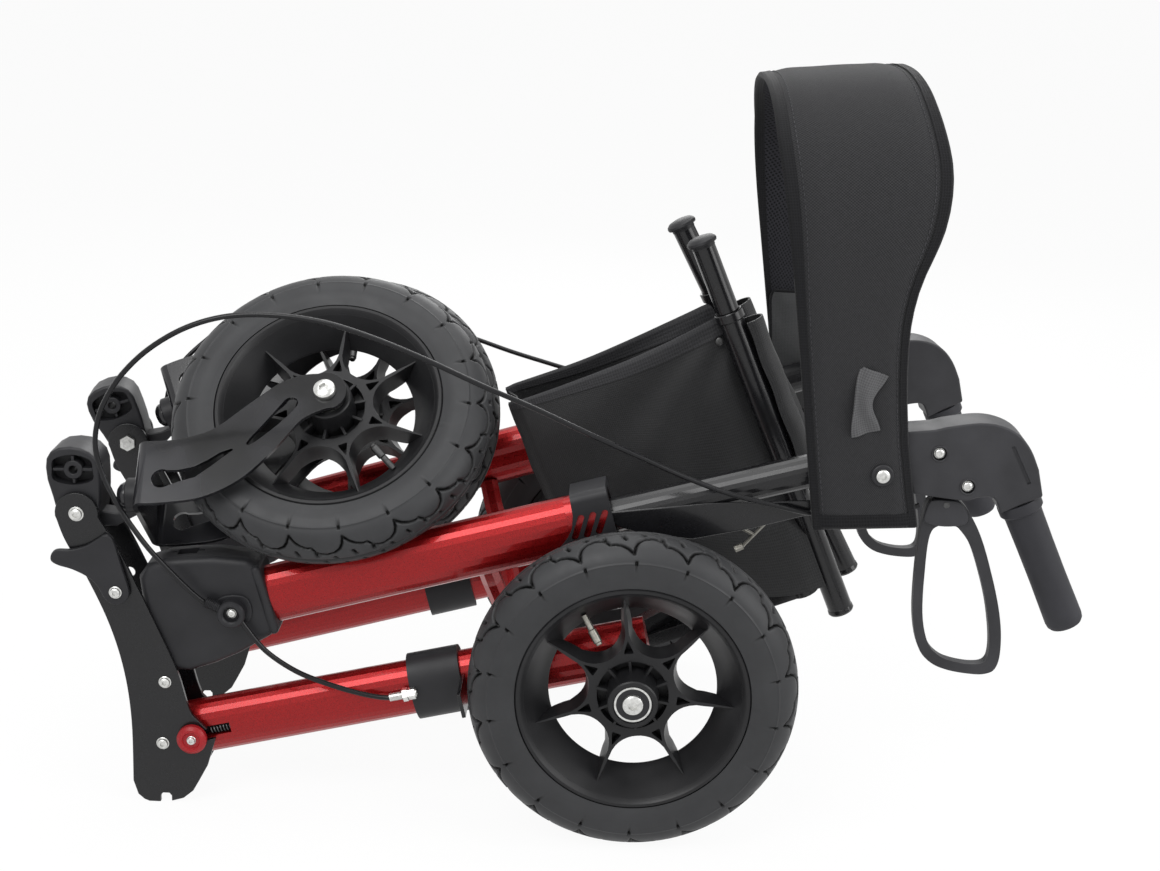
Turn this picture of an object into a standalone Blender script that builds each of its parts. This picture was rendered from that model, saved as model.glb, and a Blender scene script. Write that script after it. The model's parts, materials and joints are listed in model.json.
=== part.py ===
"""Outdoor rollator with four pneumatic wheels, folded for storage.

World frame: +X runs from the head plates to the grips, +Y from the left frame to the right
frame, +Z up. The part stands on the two rear tyres and the lower ends of the head plates.
Every size below is in millimetres and every angle in degrees. A side piece is modelled for
the left frame, where y is 0 in the frame's own plane and grows inward, and it is mirrored
for the right frame.
"""
import math

import bmesh
import bpy
from mathutils import Matrix, Vector

MM = 0.001
GAP = 0.3
LEFT = -1
RIGHT = 1

# Side frames
HALF_GAP = 121.8
TOE_ANGLE = 3.16
PLAN_SHIFT = 51.935

# Wheels
TYRE_RADIUS = 130.0
TYRE_SECTION = 25.0
RIM_RADIUS = 91.5
RIM_HALF_WIDTH = 22.5
RIM_CHANNEL_DEPTH = 7.0
BEAD_HALF_WIDTH = 17.7
BARREL_WALL = 8.0
DISC_HALF_WIDTH = 15.0
HUB_HALF_WIDTH = 30.0
HUB_RING_RADIUS = 31.0
HUB_RADIUS = 20.0
SPOKES = 7
SPOKE_HALF_WIDTH = 3.2
AXLE_RADIUS = 5.0
AXLE_HEAD_RADIUS = 9.0
AXLE_HEAD = 6.0

# Head plates and what pivots between them
PLATE = 4.0
PLATE_INNER_FACE = 18.3
HEAD_U, HEAD_Z = -431.7, 245.1
LEG_U, LEG_Z = -367.9, 52.4
LATCH_U, LATCH_Z = -401.4, 183.1
HEAD_BOLT_RADIUS = 4.0
BOLT_HEAD_RADIUS = 7.0
BOLT_HEAD = 4.0
PLATE_TOP_RADIUS = 17.0
NOTCH_HALF_WIDTH = 4.5

# Main tube and upper tube, on one sloping line
MAIN_U, MAIN_Z = -282.5, 177.5
MAIN_SLOPE = 16.2
MAIN_LENGTH = 246.0
TUBE_HALF_HEIGHT = 24.0
TUBE_HALF_WIDTH = 15.5
TUBE_WALL = 1.7
UPPER_RADIUS = 13.5
UPPER_WALL = 2.0
UPPER_START = 60.0
UPPER_END = 512.0
COLLAR_START = 222.0
COLLAR_LENGTH = 60.0
COLLAR_HALF_WIDTH = 19.5
COLLAR_RISE = 29.0
COLLAR_DROP = 28.0
STEM_RADIUS = UPPER_RADIUS - UPPER_WALL - GAP
STEM_REACH = 150.0

# Rear legs
LEG_SLOPE = 14.0
LEG_LENGTH = 400.0
LEG_END = 16.0
LEG_START = 14.0
WHEEL_OFFSET = 50.0
AXLE_ALONG = LEG_LENGTH - LEG_END
AXLE_RISE = TYRE_RADIUS - LEG_Z - AXLE_ALONG * math.sin(math.radians(LEG_SLOPE))
AXLE_DROP = -AXLE_RISE / math.cos(math.radians(LEG_SLOPE))
BOSS_RADIUS = 15.0
KNOB_ALONG = 25.0
KNOB_RADIUS = 12.0
KNOB_THICK = 7.0
SLOT_LENGTH = 30.0
SLOT_HALF_WIDTH = 4.3
CLAMP_LENGTH = 42.0
CLAMP_TO_TYRE = 5.5
CLAMP_ALONG = AXLE_ALONG - TYRE_RADIUS - CLAMP_LENGTH - CLAMP_TO_TYRE
CLAMP_WALL = 5.0

# Casters
STEM_SLOPE = 2.3
CROWN_FORWARD = 49.7
CROWN_RISE = 8.9
CROWN_TO_AXLE = 144.5
TRAIL = 68.0
FORK_HALF_GAP = 35.0
FORK_PLATE = 4.0
CROWN_HALF_WIDTH = 27.0
FORK_END_RADIUS = 17.0
SLEEVE_RADIUS = 14.0
SLEEVE_LENGTH = 14.0
CASTER_PIN_RADIUS = 6.0
DOME_RADIUS = 10.5
DOME_LENGTH = 8.0
HEAD_TURN = {LEFT: 1.9, RIGHT: 20.0}
SWIVEL = {LEFT: -45.0, RIGHT: 144.0}

# Handles
GRIP_U, GRIP_Z = 303.5, 284.0
GRIP_SLOPE = 64.5
GRIP_LENGTH = 114.0
GRIP_RADIUS = 15.0
BODY_HALF_WIDTH = 16.0
LEVER_TO_GRIP = 56.5
LEVER_U, LEVER_Z = GRIP_U - LEVER_TO_GRIP, GRIP_Z - 5.0
LUG_HALF_WIDTH = 3.5
LEVER_HALF_WIDTH = 8.0
LOOP_HALF_WIDTH = 4.5

# Cross brace, seat rails and soft parts
USE_UP = 26.0
RAIL_CROSS_U, RAIL_CROSS_Z = 96.7, 364.0
RAIL_LEAN = 2.3
RAIL_TOP = -109.0
RAIL_BOTTOM = 240.0
RAIL_RING = -43.0
RAIL_SPREAD = 30.0
RAIL_RADIUS = 10.5
RAIL_THIN_RADIUS = 9.5
RAIL_CAP_RADIUS = 12.5
RAIL_CAP = 5.0
ARM_BASE_UP = -34.0
ARM_BASE_SPREAD = 18.0
ARM_FRONT = -98.3
ARM_THICK = 12.0
ARM_HALF_WIDTH = 9.0
ARM_EYE_RADIUS = 12.0
ARM_PIN_RADIUS = 5.0
BAG_HALF = 29.0
BAG_WALL = 3.0
STRAP_THICK = 4.0

STRAP_SPREAD = 157.5
STRAP_FOOT = 262.0
STRAP_SHOULDER = 440.0
STRAP_CREST = 596.0
CABLE_RADIUS = 2.1

BLACK_STEEL = ((0.012, 0.012, 0.013), 0.32, 0.75)
BLACK_PLASTIC = ((0.018, 0.018, 0.020), 0.55, 0.0)
RED_PAINT = ((0.36, 0.010, 0.012), 0.28, 0.35)
RUBBER = ((0.030, 0.031, 0.034), 0.78, 0.0)
ZINC = ((0.62, 0.62, 0.60), 0.30, 1.0)
FABRIC = ((0.016, 0.016, 0.019), 0.92, 0.0)
RED_KNOB = ((0.42, 0.010, 0.014), 0.40, 0.0)


def clear_scene():
    """Remove the objects of the open scene."""
    for old in list(bpy.data.objects):
        bpy.data.objects.remove(old, do_unlink=True)


def new_collection(name):
    """A collection linked to the scene."""
    collection = bpy.data.collections.new(name)
    bpy.context.scene.collection.children.link(collection)
    return collection


def new_material(name, finish):
    """A Principled material of a colour, roughness and metallic value."""
    colour, roughness, metallic = finish
    material = bpy.data.materials.new(name + "_finish")
    material.use_nodes = True
    shader = material.node_tree.nodes["Principled BSDF"]
    shader.inputs["Base Color"].default_value = (*colour, 1.0)
    shader.inputs["Roughness"].default_value = roughness
    shader.inputs["Metallic"].default_value = metallic
    return material


clear_scene()
PARTS = new_collection("outdoor_rollator")
WORK = bpy.context.scene.collection


def link(name, mesh):
    """A working object around a mesh."""
    piece = bpy.data.objects.new(name, mesh)
    WORK.objects.link(piece)
    return piece


def evaluated(piece):
    """A new mesh object of what the modifiers or the curve make, welded; the source is removed."""
    bpy.context.view_layer.update()
    graph = bpy.context.evaluated_depsgraph_get()
    mesh = bpy.data.meshes.new_from_object(piece.evaluated_get(graph))
    mesh.transform(piece.matrix_world)
    name = piece.name
    bpy.data.objects.remove(piece, do_unlink=True)
    shape = bmesh.new()
    shape.from_mesh(mesh)
    bmesh.ops.remove_doubles(shape, verts=shape.verts, dist=0.00002)
    bmesh.ops.dissolve_degenerate(shape, edges=shape.edges, dist=0.00001)
    bmesh.ops.recalc_face_normals(shape, faces=shape.faces)
    shape.to_mesh(mesh)
    shape.free()
    return link(name, mesh)


def combine(piece, other, operation):
    """Union with or cut by another working object, which is used up."""
    step = piece.modifiers.new(operation.lower(), "BOOLEAN")
    step.operation = operation
    step.solver = "EXACT"
    step.object = other
    result = evaluated(piece)
    bpy.data.objects.remove(other, do_unlink=True)
    return result


def union(*pieces):
    """One body of several working objects."""
    result = pieces[0]
    for other in pieces[1:]:
        result = combine(result, other, "UNION")
    return result


def cut(piece, *tools):
    """A piece with several working objects cut out of it."""
    for tool in tools:
        piece = combine(piece, tool, "DIFFERENCE")
    return piece


def flat_curve(outline, holes, half_thickness):
    """A filled 2D curve in XY with holes, extruded both ways along Z."""
    curve = bpy.data.curves.new("outline", "CURVE")
    curve.dimensions = "2D"
    curve.fill_mode = "BOTH"
    curve.extrude = half_thickness * MM
    for ring in [outline, *holes]:
        spline = curve.splines.new("POLY")
        spline.points.add(len(ring) - 1)
        for point, (across, up) in zip(spline.points, ring):
            point.co = (across * MM, up * MM, 0.0, 1.0)
        spline.use_cyclic_u = True
    return evaluated(link("outline", curve))


def prism(outline, low, high, holes=()):
    """An outline of (u, z) points made solid from y = low to y = high."""
    piece = flat_curve(outline, holes, (high - low) / 2)
    stand = Matrix.Rotation(math.radians(90.0), 4, "X")
    piece.data.transform(Matrix.Translation((0.0, (low + high) / 2 * MM, 0.0)) @ stand)
    return piece


def rod(start, end, radius, sides=20, end_radius=None):
    """A capped cylinder or cone between two points."""
    start = Vector(start) * MM
    end = Vector(end) * MM
    along = end - start
    shape = bmesh.new()
    bmesh.ops.create_cone(
        shape, cap_ends=True, segments=sides, radius1=radius * MM,
        radius2=(radius if end_radius is None else end_radius) * MM, depth=along.length)
    turn = Vector((0.0, 0.0, 1.0)).rotation_difference(along).to_matrix().to_4x4()
    bmesh.ops.transform(shape, matrix=Matrix.Translation((start + end) / 2) @ turn, verts=shape.verts)
    mesh = bpy.data.meshes.new("rod")
    shape.to_mesh(mesh)
    shape.free()
    return link("rod", mesh)


def block(low, high):
    """A box between two corners."""
    low = Vector(low) * MM
    high = Vector(high) * MM
    shape = bmesh.new()
    bmesh.ops.create_cube(shape, size=1.0)
    size = Matrix.Diagonal((*(high - low), 1.0))
    bmesh.ops.transform(shape, matrix=Matrix.Translation((low + high) / 2) @ size, verts=shape.verts)
    mesh = bpy.data.meshes.new("block")
    shape.to_mesh(mesh)
    shape.free()
    return link("block", mesh)


def turned(profile, sides):
    """A closed profile of (radius, width) points turned about the Y axis."""
    mesh = bpy.data.meshes.new("turned")
    points = [(radius * MM, 0.0, width * MM) for radius, width in profile]
    edges = [(i, (i + 1) % len(points)) for i in range(len(points))]
    mesh.from_pydata(points, edges, [])
    piece = link("turned", mesh)
    screw = piece.modifiers.new("turn", "SCREW")
    screw.steps = sides
    screw.render_steps = sides
    screw.use_merge_vertices = True
    screw.merge_threshold = 0.0001
    piece = evaluated(piece)
    piece.data.transform(Matrix.Rotation(math.radians(90.0), 4, "X"))
    return piece


def wire(points, radius, resolution=2):
    """A round wire or tube along points, with filled caps."""
    curve = bpy.data.curves.new("wire", "CURVE")
    curve.dimensions = "3D"
    curve.bevel_depth = radius * MM
    curve.bevel_resolution = resolution
    curve.use_fill_caps = True
    spline = curve.splines.new("POLY")
    spline.points.add(len(points) - 1)
    for point, place in zip(spline.points, points):
        point.co = (*(Vector(place) * MM), 1.0)
    return evaluated(link("wire", curve))


def oval_bar(length, half_height, half_width, sides=28):
    """A solid oval bar along +X from the origin."""
    piece = rod((0, 0, 0), (length, 0, 0), 1.0, sides)
    piece.data.transform(Matrix.Diagonal((1.0, half_width, half_height, 1.0)))
    return piece


def aim(piece, u, z, slope, y=0.0):
    """Raise a piece that lies along +X by a slope and move it to (u, y, z)."""
    raise_up = Matrix.Rotation(-math.radians(slope), 4, "Y")
    piece.data.transform(Matrix.Translation(Vector((u, y, z)) * MM) @ raise_up)
    return piece


def along(u, z, slope, distance, rise=0.0):
    """The (u, z) point at a distance along a slope from (u, z), and a rise square to it."""
    turn = math.radians(slope)
    return (u + distance * math.cos(turn) - rise * math.sin(turn),
            z + distance * math.sin(turn) + rise * math.cos(turn))


def on_main(distance, rise=0.0):
    """A point on the line of the main tube."""
    return along(MAIN_U, MAIN_Z, MAIN_SLOPE, distance, rise)


def on_leg(distance, rise=0.0):
    """A point on the line of the rear leg."""
    return along(LEG_U, LEG_Z, LEG_SLOPE, distance, rise)


def arc(centre, radius, first, last, steps):
    """Points on an arc, from the first to the last angle."""
    points = []
    for i in range(steps + 1):
        angle = math.radians(first + (last - first) * i / steps)
        points.append((centre[0] + radius * math.cos(angle), centre[1] + radius * math.sin(angle)))
    return points


def circle(centre, radius, sides=16):
    """Points all round a circle."""
    return arc(centre, radius, 0.0, 360.0 - 360.0 / sides, sides - 1)


def beside(u, z, points):
    """Points given from a place in the side plane."""
    return [(u + a, z + b) for a, b in points]


def empty(name, place, turn, parent):
    """An empty at a place in its parent's frame, turned by a matrix."""
    holder = bpy.data.objects.new(name, None)
    PARTS.objects.link(holder)
    holder.parent = parent
    holder.matrix_basis = Matrix.Translation(Vector(place) * MM) @ turn
    return holder


def finish_piece(name, piece, finish, pivot=(0.0, 0.0, 0.0), parent=None, mirror=False):
    """Give a working object its name, its origin on its pivot, its parent and its material."""
    mesh = piece.data
    mesh.transform(Matrix.Translation(-Vector(pivot) * MM))
    place = Vector(pivot)
    if mirror:
        mesh.transform(Matrix.Diagonal((1.0, -1.0, 1.0, 1.0)))
        mesh.flip_normals()
        place.y = -place.y
    result = bpy.data.objects.new(name, mesh)
    mesh.name = name
    bpy.data.objects.remove(piece, do_unlink=True)
    PARTS.objects.link(result)
    mesh.materials.clear()
    mesh.materials.append(new_material(name, finish))
    mesh.shade_smooth()
    mesh.set_sharp_from_angle(angle=math.radians(35.0))
    result.parent = parent
    result.location = place * MM
    return result


def tyre_mesh():
    """A tyre with a round section and a flat bead that sits in the rim's channel."""
    ring = TYRE_RADIUS - TYRE_SECTION
    seat = RIM_RADIUS - RIM_CHANNEL_DEPTH + GAP
    shoulder = RIM_RADIUS + GAP
    half_width = math.sqrt(TYRE_SECTION ** 2 - (ring - shoulder) ** 2)
    first = math.degrees(math.atan2(half_width, shoulder - ring))
    round_part = arc((ring, 0.0), TYRE_SECTION, first, -first, 10)
    bead = BEAD_HALF_WIDTH
    profile = [(seat, -bead), (seat, bead), (shoulder, bead), *round_part, (shoulder, -bead)]
    return turned(profile, 32)


def window(index):
    """The outline of one window between two spokes of a rim."""
    pitch = 360.0 / SPOKES
    middle = 90.0 + pitch * (index + 0.5)
    inner = HUB_RING_RADIUS + 4.0
    outer = RIM_RADIUS - RIM_CHANNEL_DEPTH - BARREL_WALL + 3.0
    edge = math.degrees(math.asin(SPOKE_HALF_WIDTH / outer))
    points = arc((0.0, 0.0), outer, middle - pitch / 2 + edge, middle + pitch / 2 - edge, 5)
    for share, radius in ((0.86, outer * 0.72), (0.66, inner + 7.0), (0.36, inner + 1.2)):
        wide = (pitch / 2 - math.degrees(math.asin(SPOKE_HALF_WIDTH / radius))) * share
        points.append(arc((0.0, 0.0), radius, middle + wide, middle + wide, 1)[0])
    points.append(arc((0.0, 0.0), inner, middle, middle, 1)[0])
    for share, radius in ((0.36, inner + 1.2), (0.66, inner + 7.0), (0.86, outer * 0.72)):
        wide = (pitch / 2 - math.degrees(math.asin(SPOKE_HALF_WIDTH / radius))) * share
        points.append(arc((0.0, 0.0), radius, middle - wide, middle - wide, 1)[0])
    return points


def rim_mesh():
    """A rim: a channelled barrel, a disc with seven windows and a hub with an axle bore."""
    channel = RIM_RADIUS - RIM_CHANNEL_DEPTH
    inside = channel - BARREL_WALL
    bead = BEAD_HALF_WIDTH + GAP
    barrel = turned([
        (inside + 3.0, -RIM_HALF_WIDTH), (inside, 0.0), (inside + 3.0, RIM_HALF_WIDTH),
        (RIM_RADIUS, RIM_HALF_WIDTH), (RIM_RADIUS, bead), (channel, bead),
        (channel, -bead), (RIM_RADIUS, -bead), (RIM_RADIUS, -RIM_HALF_WIDTH)], 32)
    bore = circle((0.0, 0.0), AXLE_RADIUS + GAP)
    windows = [window(i) for i in range(SPOKES)]
    disc = prism(circle((0.0, 0.0), inside + 4.0, 36), -DISC_HALF_WIDTH, DISC_HALF_WIDTH, windows)
    hub = rod((0, -HUB_HALF_WIDTH, 0), (0, HUB_HALF_WIDTH, 0), HUB_RADIUS, 24)
    core = rod((0, -HUB_HALF_WIDTH - 1, 0), (0, HUB_HALF_WIDTH + 1, 0), AXLE_RADIUS + GAP, len(bore))
    return cut(union(barrel, disc, hub), core)


def plate_outline():
    """The outline of a head plate, from the round top down the front edge and back up."""
    top = arc((HEAD_U, HEAD_Z), PLATE_TOP_RADIUS, 0.0, 190.0, 10)
    front = [(-441.0, 222.0), (-424.7, 191.4), (-408.4, 153.1), (-397.9, 114.0), (-393.0, 71.4),
             (-392.8, 18.0), (-389.0, 6.0), (-380.0, 0.0)]
    notch_u = LEG_U + 1.7
    foot = [(notch_u - NOTCH_HALF_WIDTH, 0.0), (notch_u - NOTCH_HALF_WIDTH, 8.0),
            (notch_u + NOTCH_HALF_WIDTH, 8.0), (notch_u + NOTCH_HALF_WIDTH, 1.0), (-352.0, 4.0)]
    knob = on_leg(KNOB_ALONG)
    open_end = KNOB_ALONG + 30.0
    rear = [(-338.8, 20.7), (-332.0, 34.0), on_leg(open_end, -NOTCH_HALF_WIDTH)]
    slot = arc(knob, NOTCH_HALF_WIDTH, 270.0 + LEG_SLOPE, 90.0 + LEG_SLOPE, 6)
    upper = [on_leg(open_end - 8.0, NOTCH_HALF_WIDTH), (-347.8, 88.5), (-355.0, 115.0),
             (-367.9, 146.5), (-397.2, 211.1)]
    return [*top, *front, *foot, *rear, *slot, *upper]


def head_plate(low, high):
    """A head plate with its pivot holes."""
    holes = [circle((HEAD_U, HEAD_Z), HEAD_BOLT_RADIUS + GAP),
             circle((LEG_U, LEG_Z), HEAD_BOLT_RADIUS + GAP),
             circle((LATCH_U, LATCH_Z), HEAD_BOLT_RADIUS + GAP)]
    return prism(plate_outline(), low, high, holes)


def through_bolt(u, z, inner, outer):
    """A bolt through both head plates with a head at each end."""
    shank = rod((u, -outer - 1.0, z), (u, inner + 1.0, z), HEAD_BOLT_RADIUS, 16)
    head = rod((u, -outer, z), (u, -outer - BOLT_HEAD, z), BOLT_HEAD_RADIUS, 16)
    nut = rod((u, inner, z), (u, inner + BOLT_HEAD, z), BOLT_HEAD_RADIUS, 6)
    return union(shank, head, nut)


def housing():
    """The moulded housing between the head plates that holds the main tube's lower end."""
    half = PLATE_INNER_FACE - GAP
    top = on_main(-GAP, 30.0)
    bottom = on_main(-GAP, -28.0)
    outline = [(-378.0, 194.0), (-366.0, 204.0), (-346.0, 207.0), (-326.0, 211.0), (-300.0, 211.0), top,
               bottom, (-305.0, 131.0), (-345.0, 113.0), (-372.0, 113.0), (-382.0, 160.0)]
    body = prism(outline, -half, half)
    chamfer = body.modifiers.new("edges", "BEVEL")
    chamfer.width = 6.0 * MM
    chamfer.segments = 1
    chamfer.limit_method = "ANGLE"
    chamfer.angle_limit = math.radians(60.0)
    return evaluated(body)


def main_tube(side):
    """The hollow oval main tube with the strut that carries the cross brace."""
    body = oval_bar(MAIN_LENGTH, TUBE_HALF_HEIGHT, TUBE_HALF_WIDTH)
    bore = oval_bar(MAIN_LENGTH + 2.0, TUBE_HALF_HEIGHT - TUBE_WALL, TUBE_HALF_WIDTH - TUBE_WALL)
    bore.data.transform(Matrix.Translation((-MM, 0.0, 0.0)))
    body = aim(cut(body, bore), MAIN_U, MAIN_Z, MAIN_SLOPE)
    return union(body, brace_strut(side))


def brace_point(side, up, back, across):
    """A point of the brace in the side frame's own coordinates.

    up runs along the rollator's upright direction in use, back along the seat rails, and
    across is the distance from the middle plane of the whole part."""
    turn = math.radians(USE_UP)
    x = up * math.cos(turn) + back * math.sin(turn)
    z = up * math.sin(turn) - back * math.cos(turn)
    toe = math.radians(TOE_ANGLE)
    inward = HALF_GAP - across
    return (x * math.cos(toe) - inward * math.sin(toe), inward * math.cos(toe) + x * math.sin(toe), z)


ARM_BACK = {LEFT: ARM_FRONT, RIGHT: ARM_FRONT + ARM_THICK + GAP}


def brace_strut(side):
    """The bent strut from the main tube's underside to a brace arm's pin."""
    low = ARM_BACK[side]
    pin = (low - GAP - 12.0, low + ARM_THICK)
    barrel = (low - GAP - 14.0, low - GAP)
    middle = (barrel[0] + barrel[1]) / 2
    end = brace_point(side, ARM_BASE_UP, middle, ARM_BASE_SPREAD)
    route = [(-112.0, 9.0, 207.0), (-108.0, 22.0, 190.0), (-100.0, 36.0, 165.0), end]
    strut = wire(route, 8.5, 2)
    eye = rod(brace_point(side, ARM_BASE_UP, barrel[0], ARM_BASE_SPREAD),
              brace_point(side, ARM_BASE_UP, barrel[1], ARM_BASE_SPREAD), ARM_EYE_RADIUS)
    shank = rod(brace_point(side, ARM_BASE_UP, pin[0], ARM_BASE_SPREAD),
                brace_point(side, ARM_BASE_UP, pin[1], ARM_BASE_SPREAD), ARM_PIN_RADIUS, 16)
    return union(strut, eye, shank)


def saddle_collar():
    """The sleeve over the main tube's upper end, swept back towards its underside."""
    across = COLLAR_HALF_WIDTH
    outline = [(-across, -COLLAR_DROP + 12.0), (-across + 9.0, -COLLAR_DROP), (across - 9.0, -COLLAR_DROP),
               (across, -COLLAR_DROP + 12.0), (across, COLLAR_RISE - 4.0), (across - 4.0, COLLAR_RISE),
               (-across + 4.0, COLLAR_RISE), (-across, COLLAR_RISE - 4.0)]
    body = flat_curve(outline, [], COLLAR_LENGTH / 2)
    stand = Matrix(((0, 0, 1, 0), (1, 0, 0, 0), (0, 1, 0, 0), (0, 0, 0, 1)))
    body.data.transform(Matrix.Translation((COLLAR_LENGTH / 2 * MM, 0.0, 0.0)) @ stand)
    bore = oval_bar(COLLAR_LENGTH + 2.0, TUBE_HALF_HEIGHT + GAP, TUBE_HALF_WIDTH + GAP)
    bore.data.transform(Matrix.Translation((-MM, 0.0, 0.0)))
    sweep = prism([(-1.0, 40.0), (32.0, 40.0), (31.0, 14.0), (27.0, 2.0), (15.0, -10.0), (5.0, -17.0),
                   (-1.0, -19.0)], -across - 1.0, across + 1.0)
    return aim(cut(body, bore, sweep), *on_main(COLLAR_START), MAIN_SLOPE)


def upper_tube():
    """The round upper tube, hollow for the handle's stem."""
    body = rod((0, 0, 0), (UPPER_END - UPPER_START, 0, 0), UPPER_RADIUS, 24)
    bore = rod((-1, 0, 0), (UPPER_END - UPPER_START + 1, 0, 0), UPPER_RADIUS - UPPER_WALL, 24)
    body = aim(cut(body, bore), *on_main(UPPER_START), MAIN_SLOPE)
    bolt_u, bolt_z = on_main(UPPER_END - 17.6)
    strap_face = STRAP_SPREAD - STRAP_THICK / 2 - GAP
    reach = strap_face - HALF_GAP - bolt_u * math.sin(math.radians(TOE_ANGLE))
    boss = rod((bolt_u, -UPPER_RADIUS + UPPER_WALL * 0.75, bolt_z), (bolt_u, -reach, bolt_z), 5.0, 16)
    return union(body, boss)


def handle_body():
    """The moulded handle elbow with its stem and the lug of the brake lever."""
    grip_turn = math.radians(GRIP_SLOPE)
    down = (math.cos(grip_turn), -math.sin(grip_turn))
    across = (down[1], -down[0])
    reach = GRIP_RADIUS + 2.5
    face_right = (GRIP_U - across[0] * reach, GRIP_Z - across[1] * reach)
    face_left = (GRIP_U + across[0] * reach, GRIP_Z + across[1] * reach)
    left_top = on_main(UPPER_END + GAP, 19.0)
    left_bottom = on_main(UPPER_END + GAP, -33.0)
    crest = beside(GRIP_U, GRIP_Z, [(-59.5, 61.0), (-37.5, 64.5), (-21.5, 63.0), (-7.5, 56.5), (3.0, 44.5),
                                    (10.5, 29.0)])
    belly = beside(GRIP_U, GRIP_Z, [(-27.5, 5.0), (-41.5, 3.5)])
    outline = [left_bottom, left_top, *crest, face_right, face_left, *belly]
    body = prism(outline, -BODY_HALF_WIDTH, BODY_HALF_WIDTH)
    soften = body.modifiers.new("edges", "BEVEL")
    soften.width = 5.0 * MM
    soften.segments = 2
    soften.limit_method = "ANGLE"
    soften.angle_limit = math.radians(60.0)
    body = evaluated(body)
    stem = rod((*on_main(UPPER_END - STEM_REACH)[:1], 0, on_main(UPPER_END - STEM_REACH)[1]),
               (*on_main(UPPER_END + 20.0)[:1], 0, on_main(UPPER_END + 20.0)[1]), STEM_RADIUS, 20)
    lug = prism(beside(LEVER_U, LEVER_Z, [(-7.0, 13.0), (7.0, 13.0), (6.0, -5.0), (-6.0, -5.0)]),
                -LUG_HALF_WIDTH, LUG_HALF_WIDTH, [circle((LEVER_U, LEVER_Z), 2.3, 12)])
    return union(body, stem, lug)


def grip():
    """The round grip, with a softened end."""
    turn = math.radians(GRIP_SLOPE)
    profile = [(0.0, 0.0), (GRIP_RADIUS, 0.0), (GRIP_RADIUS, GRIP_LENGTH - 5.0),
               (GRIP_RADIUS - 4.0, GRIP_LENGTH), (0.0, GRIP_LENGTH)]
    parts = rod((0, 0, GAP), (0, 0, GRIP_LENGTH - 5.0), GRIP_RADIUS, 24)
    end = rod((0, 0, GRIP_LENGTH - 5.5), (0, 0, profile[3][1]), GRIP_RADIUS, 24, GRIP_RADIUS - 4.0)
    body = union(parts, end)
    lay = Matrix.Rotation(math.radians(90.0) + turn, 4, "Y")
    body.data.transform(Matrix.Translation(Vector((GRIP_U, 0.0, GRIP_Z)) * MM) @ lay)
    return body


def brake_lever():
    """The looped brake lever with its forked eye."""
    outer = beside(LEVER_U, LEVER_Z, [
        (-13.0, 2.0), (11.0, 2.0), (22.0, -11.0), (33.0, -33.0), (46.0, -71.0), (53.0, -100.0), (54.5, -127.0),
        (50.0, -139.0), (34.0, -142.5), (15.0, -140.0), (0.0, -134.0), (-11.0, -121.0), (-17.5, -94.0),
        (-19.0, -54.0), (-17.5, -17.0)])
    inner = beside(LEVER_U, LEVER_Z, [
        (-5.0, -17.0), (7.0, -16.5), (24.0, -35.0), (37.0, -73.0), (43.5, -101.0), (45.5, -125.0),
        (33.0, -134.0), (17.0, -132.0), (5.0, -127.0), (-4.0, -116.0), (-10.0, -92.0), (-11.0, -54.0)])
    head = prism(beside(LEVER_U, LEVER_Z, [(-13.0, 3.5), (11.0, 3.5), (19.0, -13.0), (-17.0, -15.0)]),
                 -LEVER_HALF_WIDTH, LEVER_HALF_WIDTH)
    loop = prism(outer, -LOOP_HALF_WIDTH, LOOP_HALF_WIDTH, [inner[::-1]])
    slot = block((LEVER_U - 10.0, -LUG_HALF_WIDTH - GAP, LEVER_Z - 8.0),
                 (LEVER_U + 10.0, LUG_HALF_WIDTH + GAP, LEVER_Z + 12.0))
    pin = rod((LEVER_U, -LEVER_HALF_WIDTH, LEVER_Z), (LEVER_U, LEVER_HALF_WIDTH, LEVER_Z), 2.0, 12)
    return union(cut(union(head, loop), slot), pin)


def rear_leg():
    """The oval rear leg with its pivot eye, lock slot and axle boss."""
    bar = oval_bar(LEG_LENGTH - LEG_START, TUBE_HALF_HEIGHT - 1.0, TUBE_HALF_WIDTH)
    bar = aim(bar, *on_leg(LEG_START), LEG_SLOPE)
    half = PLATE_INNER_FACE - GAP
    eye = rod((LEG_U, -half, LEG_Z), (LEG_U, half, LEG_Z), TUBE_HALF_HEIGHT - 1.0, 28)
    axle_u, axle_z = on_leg(AXLE_ALONG, -AXLE_DROP)
    inboard = TUBE_HALF_WIDTH
    outboard = WHEEL_OFFSET - HUB_HALF_WIDTH - GAP
    boss = rod((axle_u, inboard, axle_z), (axle_u, -outboard, axle_z), BOSS_RADIUS, 24)
    pivot = rod((LEG_U, -half - 1, LEG_Z), (LEG_U, half + 1, LEG_Z), HEAD_BOLT_RADIUS + GAP, 16)
    bore = rod((axle_u, inboard + 1, axle_z), (axle_u, -outboard - 1, axle_z), AXLE_RADIUS + GAP, 16)
    slot_start = on_leg(KNOB_ALONG)
    slot = aim(block((-SLOT_HALF_WIDTH, -30, -SLOT_HALF_WIDTH), (SLOT_LENGTH, 30, SLOT_HALF_WIDTH)),
               *slot_start, LEG_SLOPE)
    return cut(union(bar, eye, boss), pivot, bore, slot)


def release_knob():
    """The red knob of the leg lock, which slides along the leg."""
    u, z = on_leg(KNOB_ALONG)
    face = PLATE_INNER_FACE + PLATE + GAP
    disc = rod((u, -face, z), (u, -face - KNOB_THICK + 2.0, z), KNOB_RADIUS, 24)
    rim = rod((u, -face - 2.0, z), (u, -face - KNOB_THICK, z), KNOB_RADIUS - 1.0, 24, KNOB_RADIUS - 3.0)
    return union(disc, rim)


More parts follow.
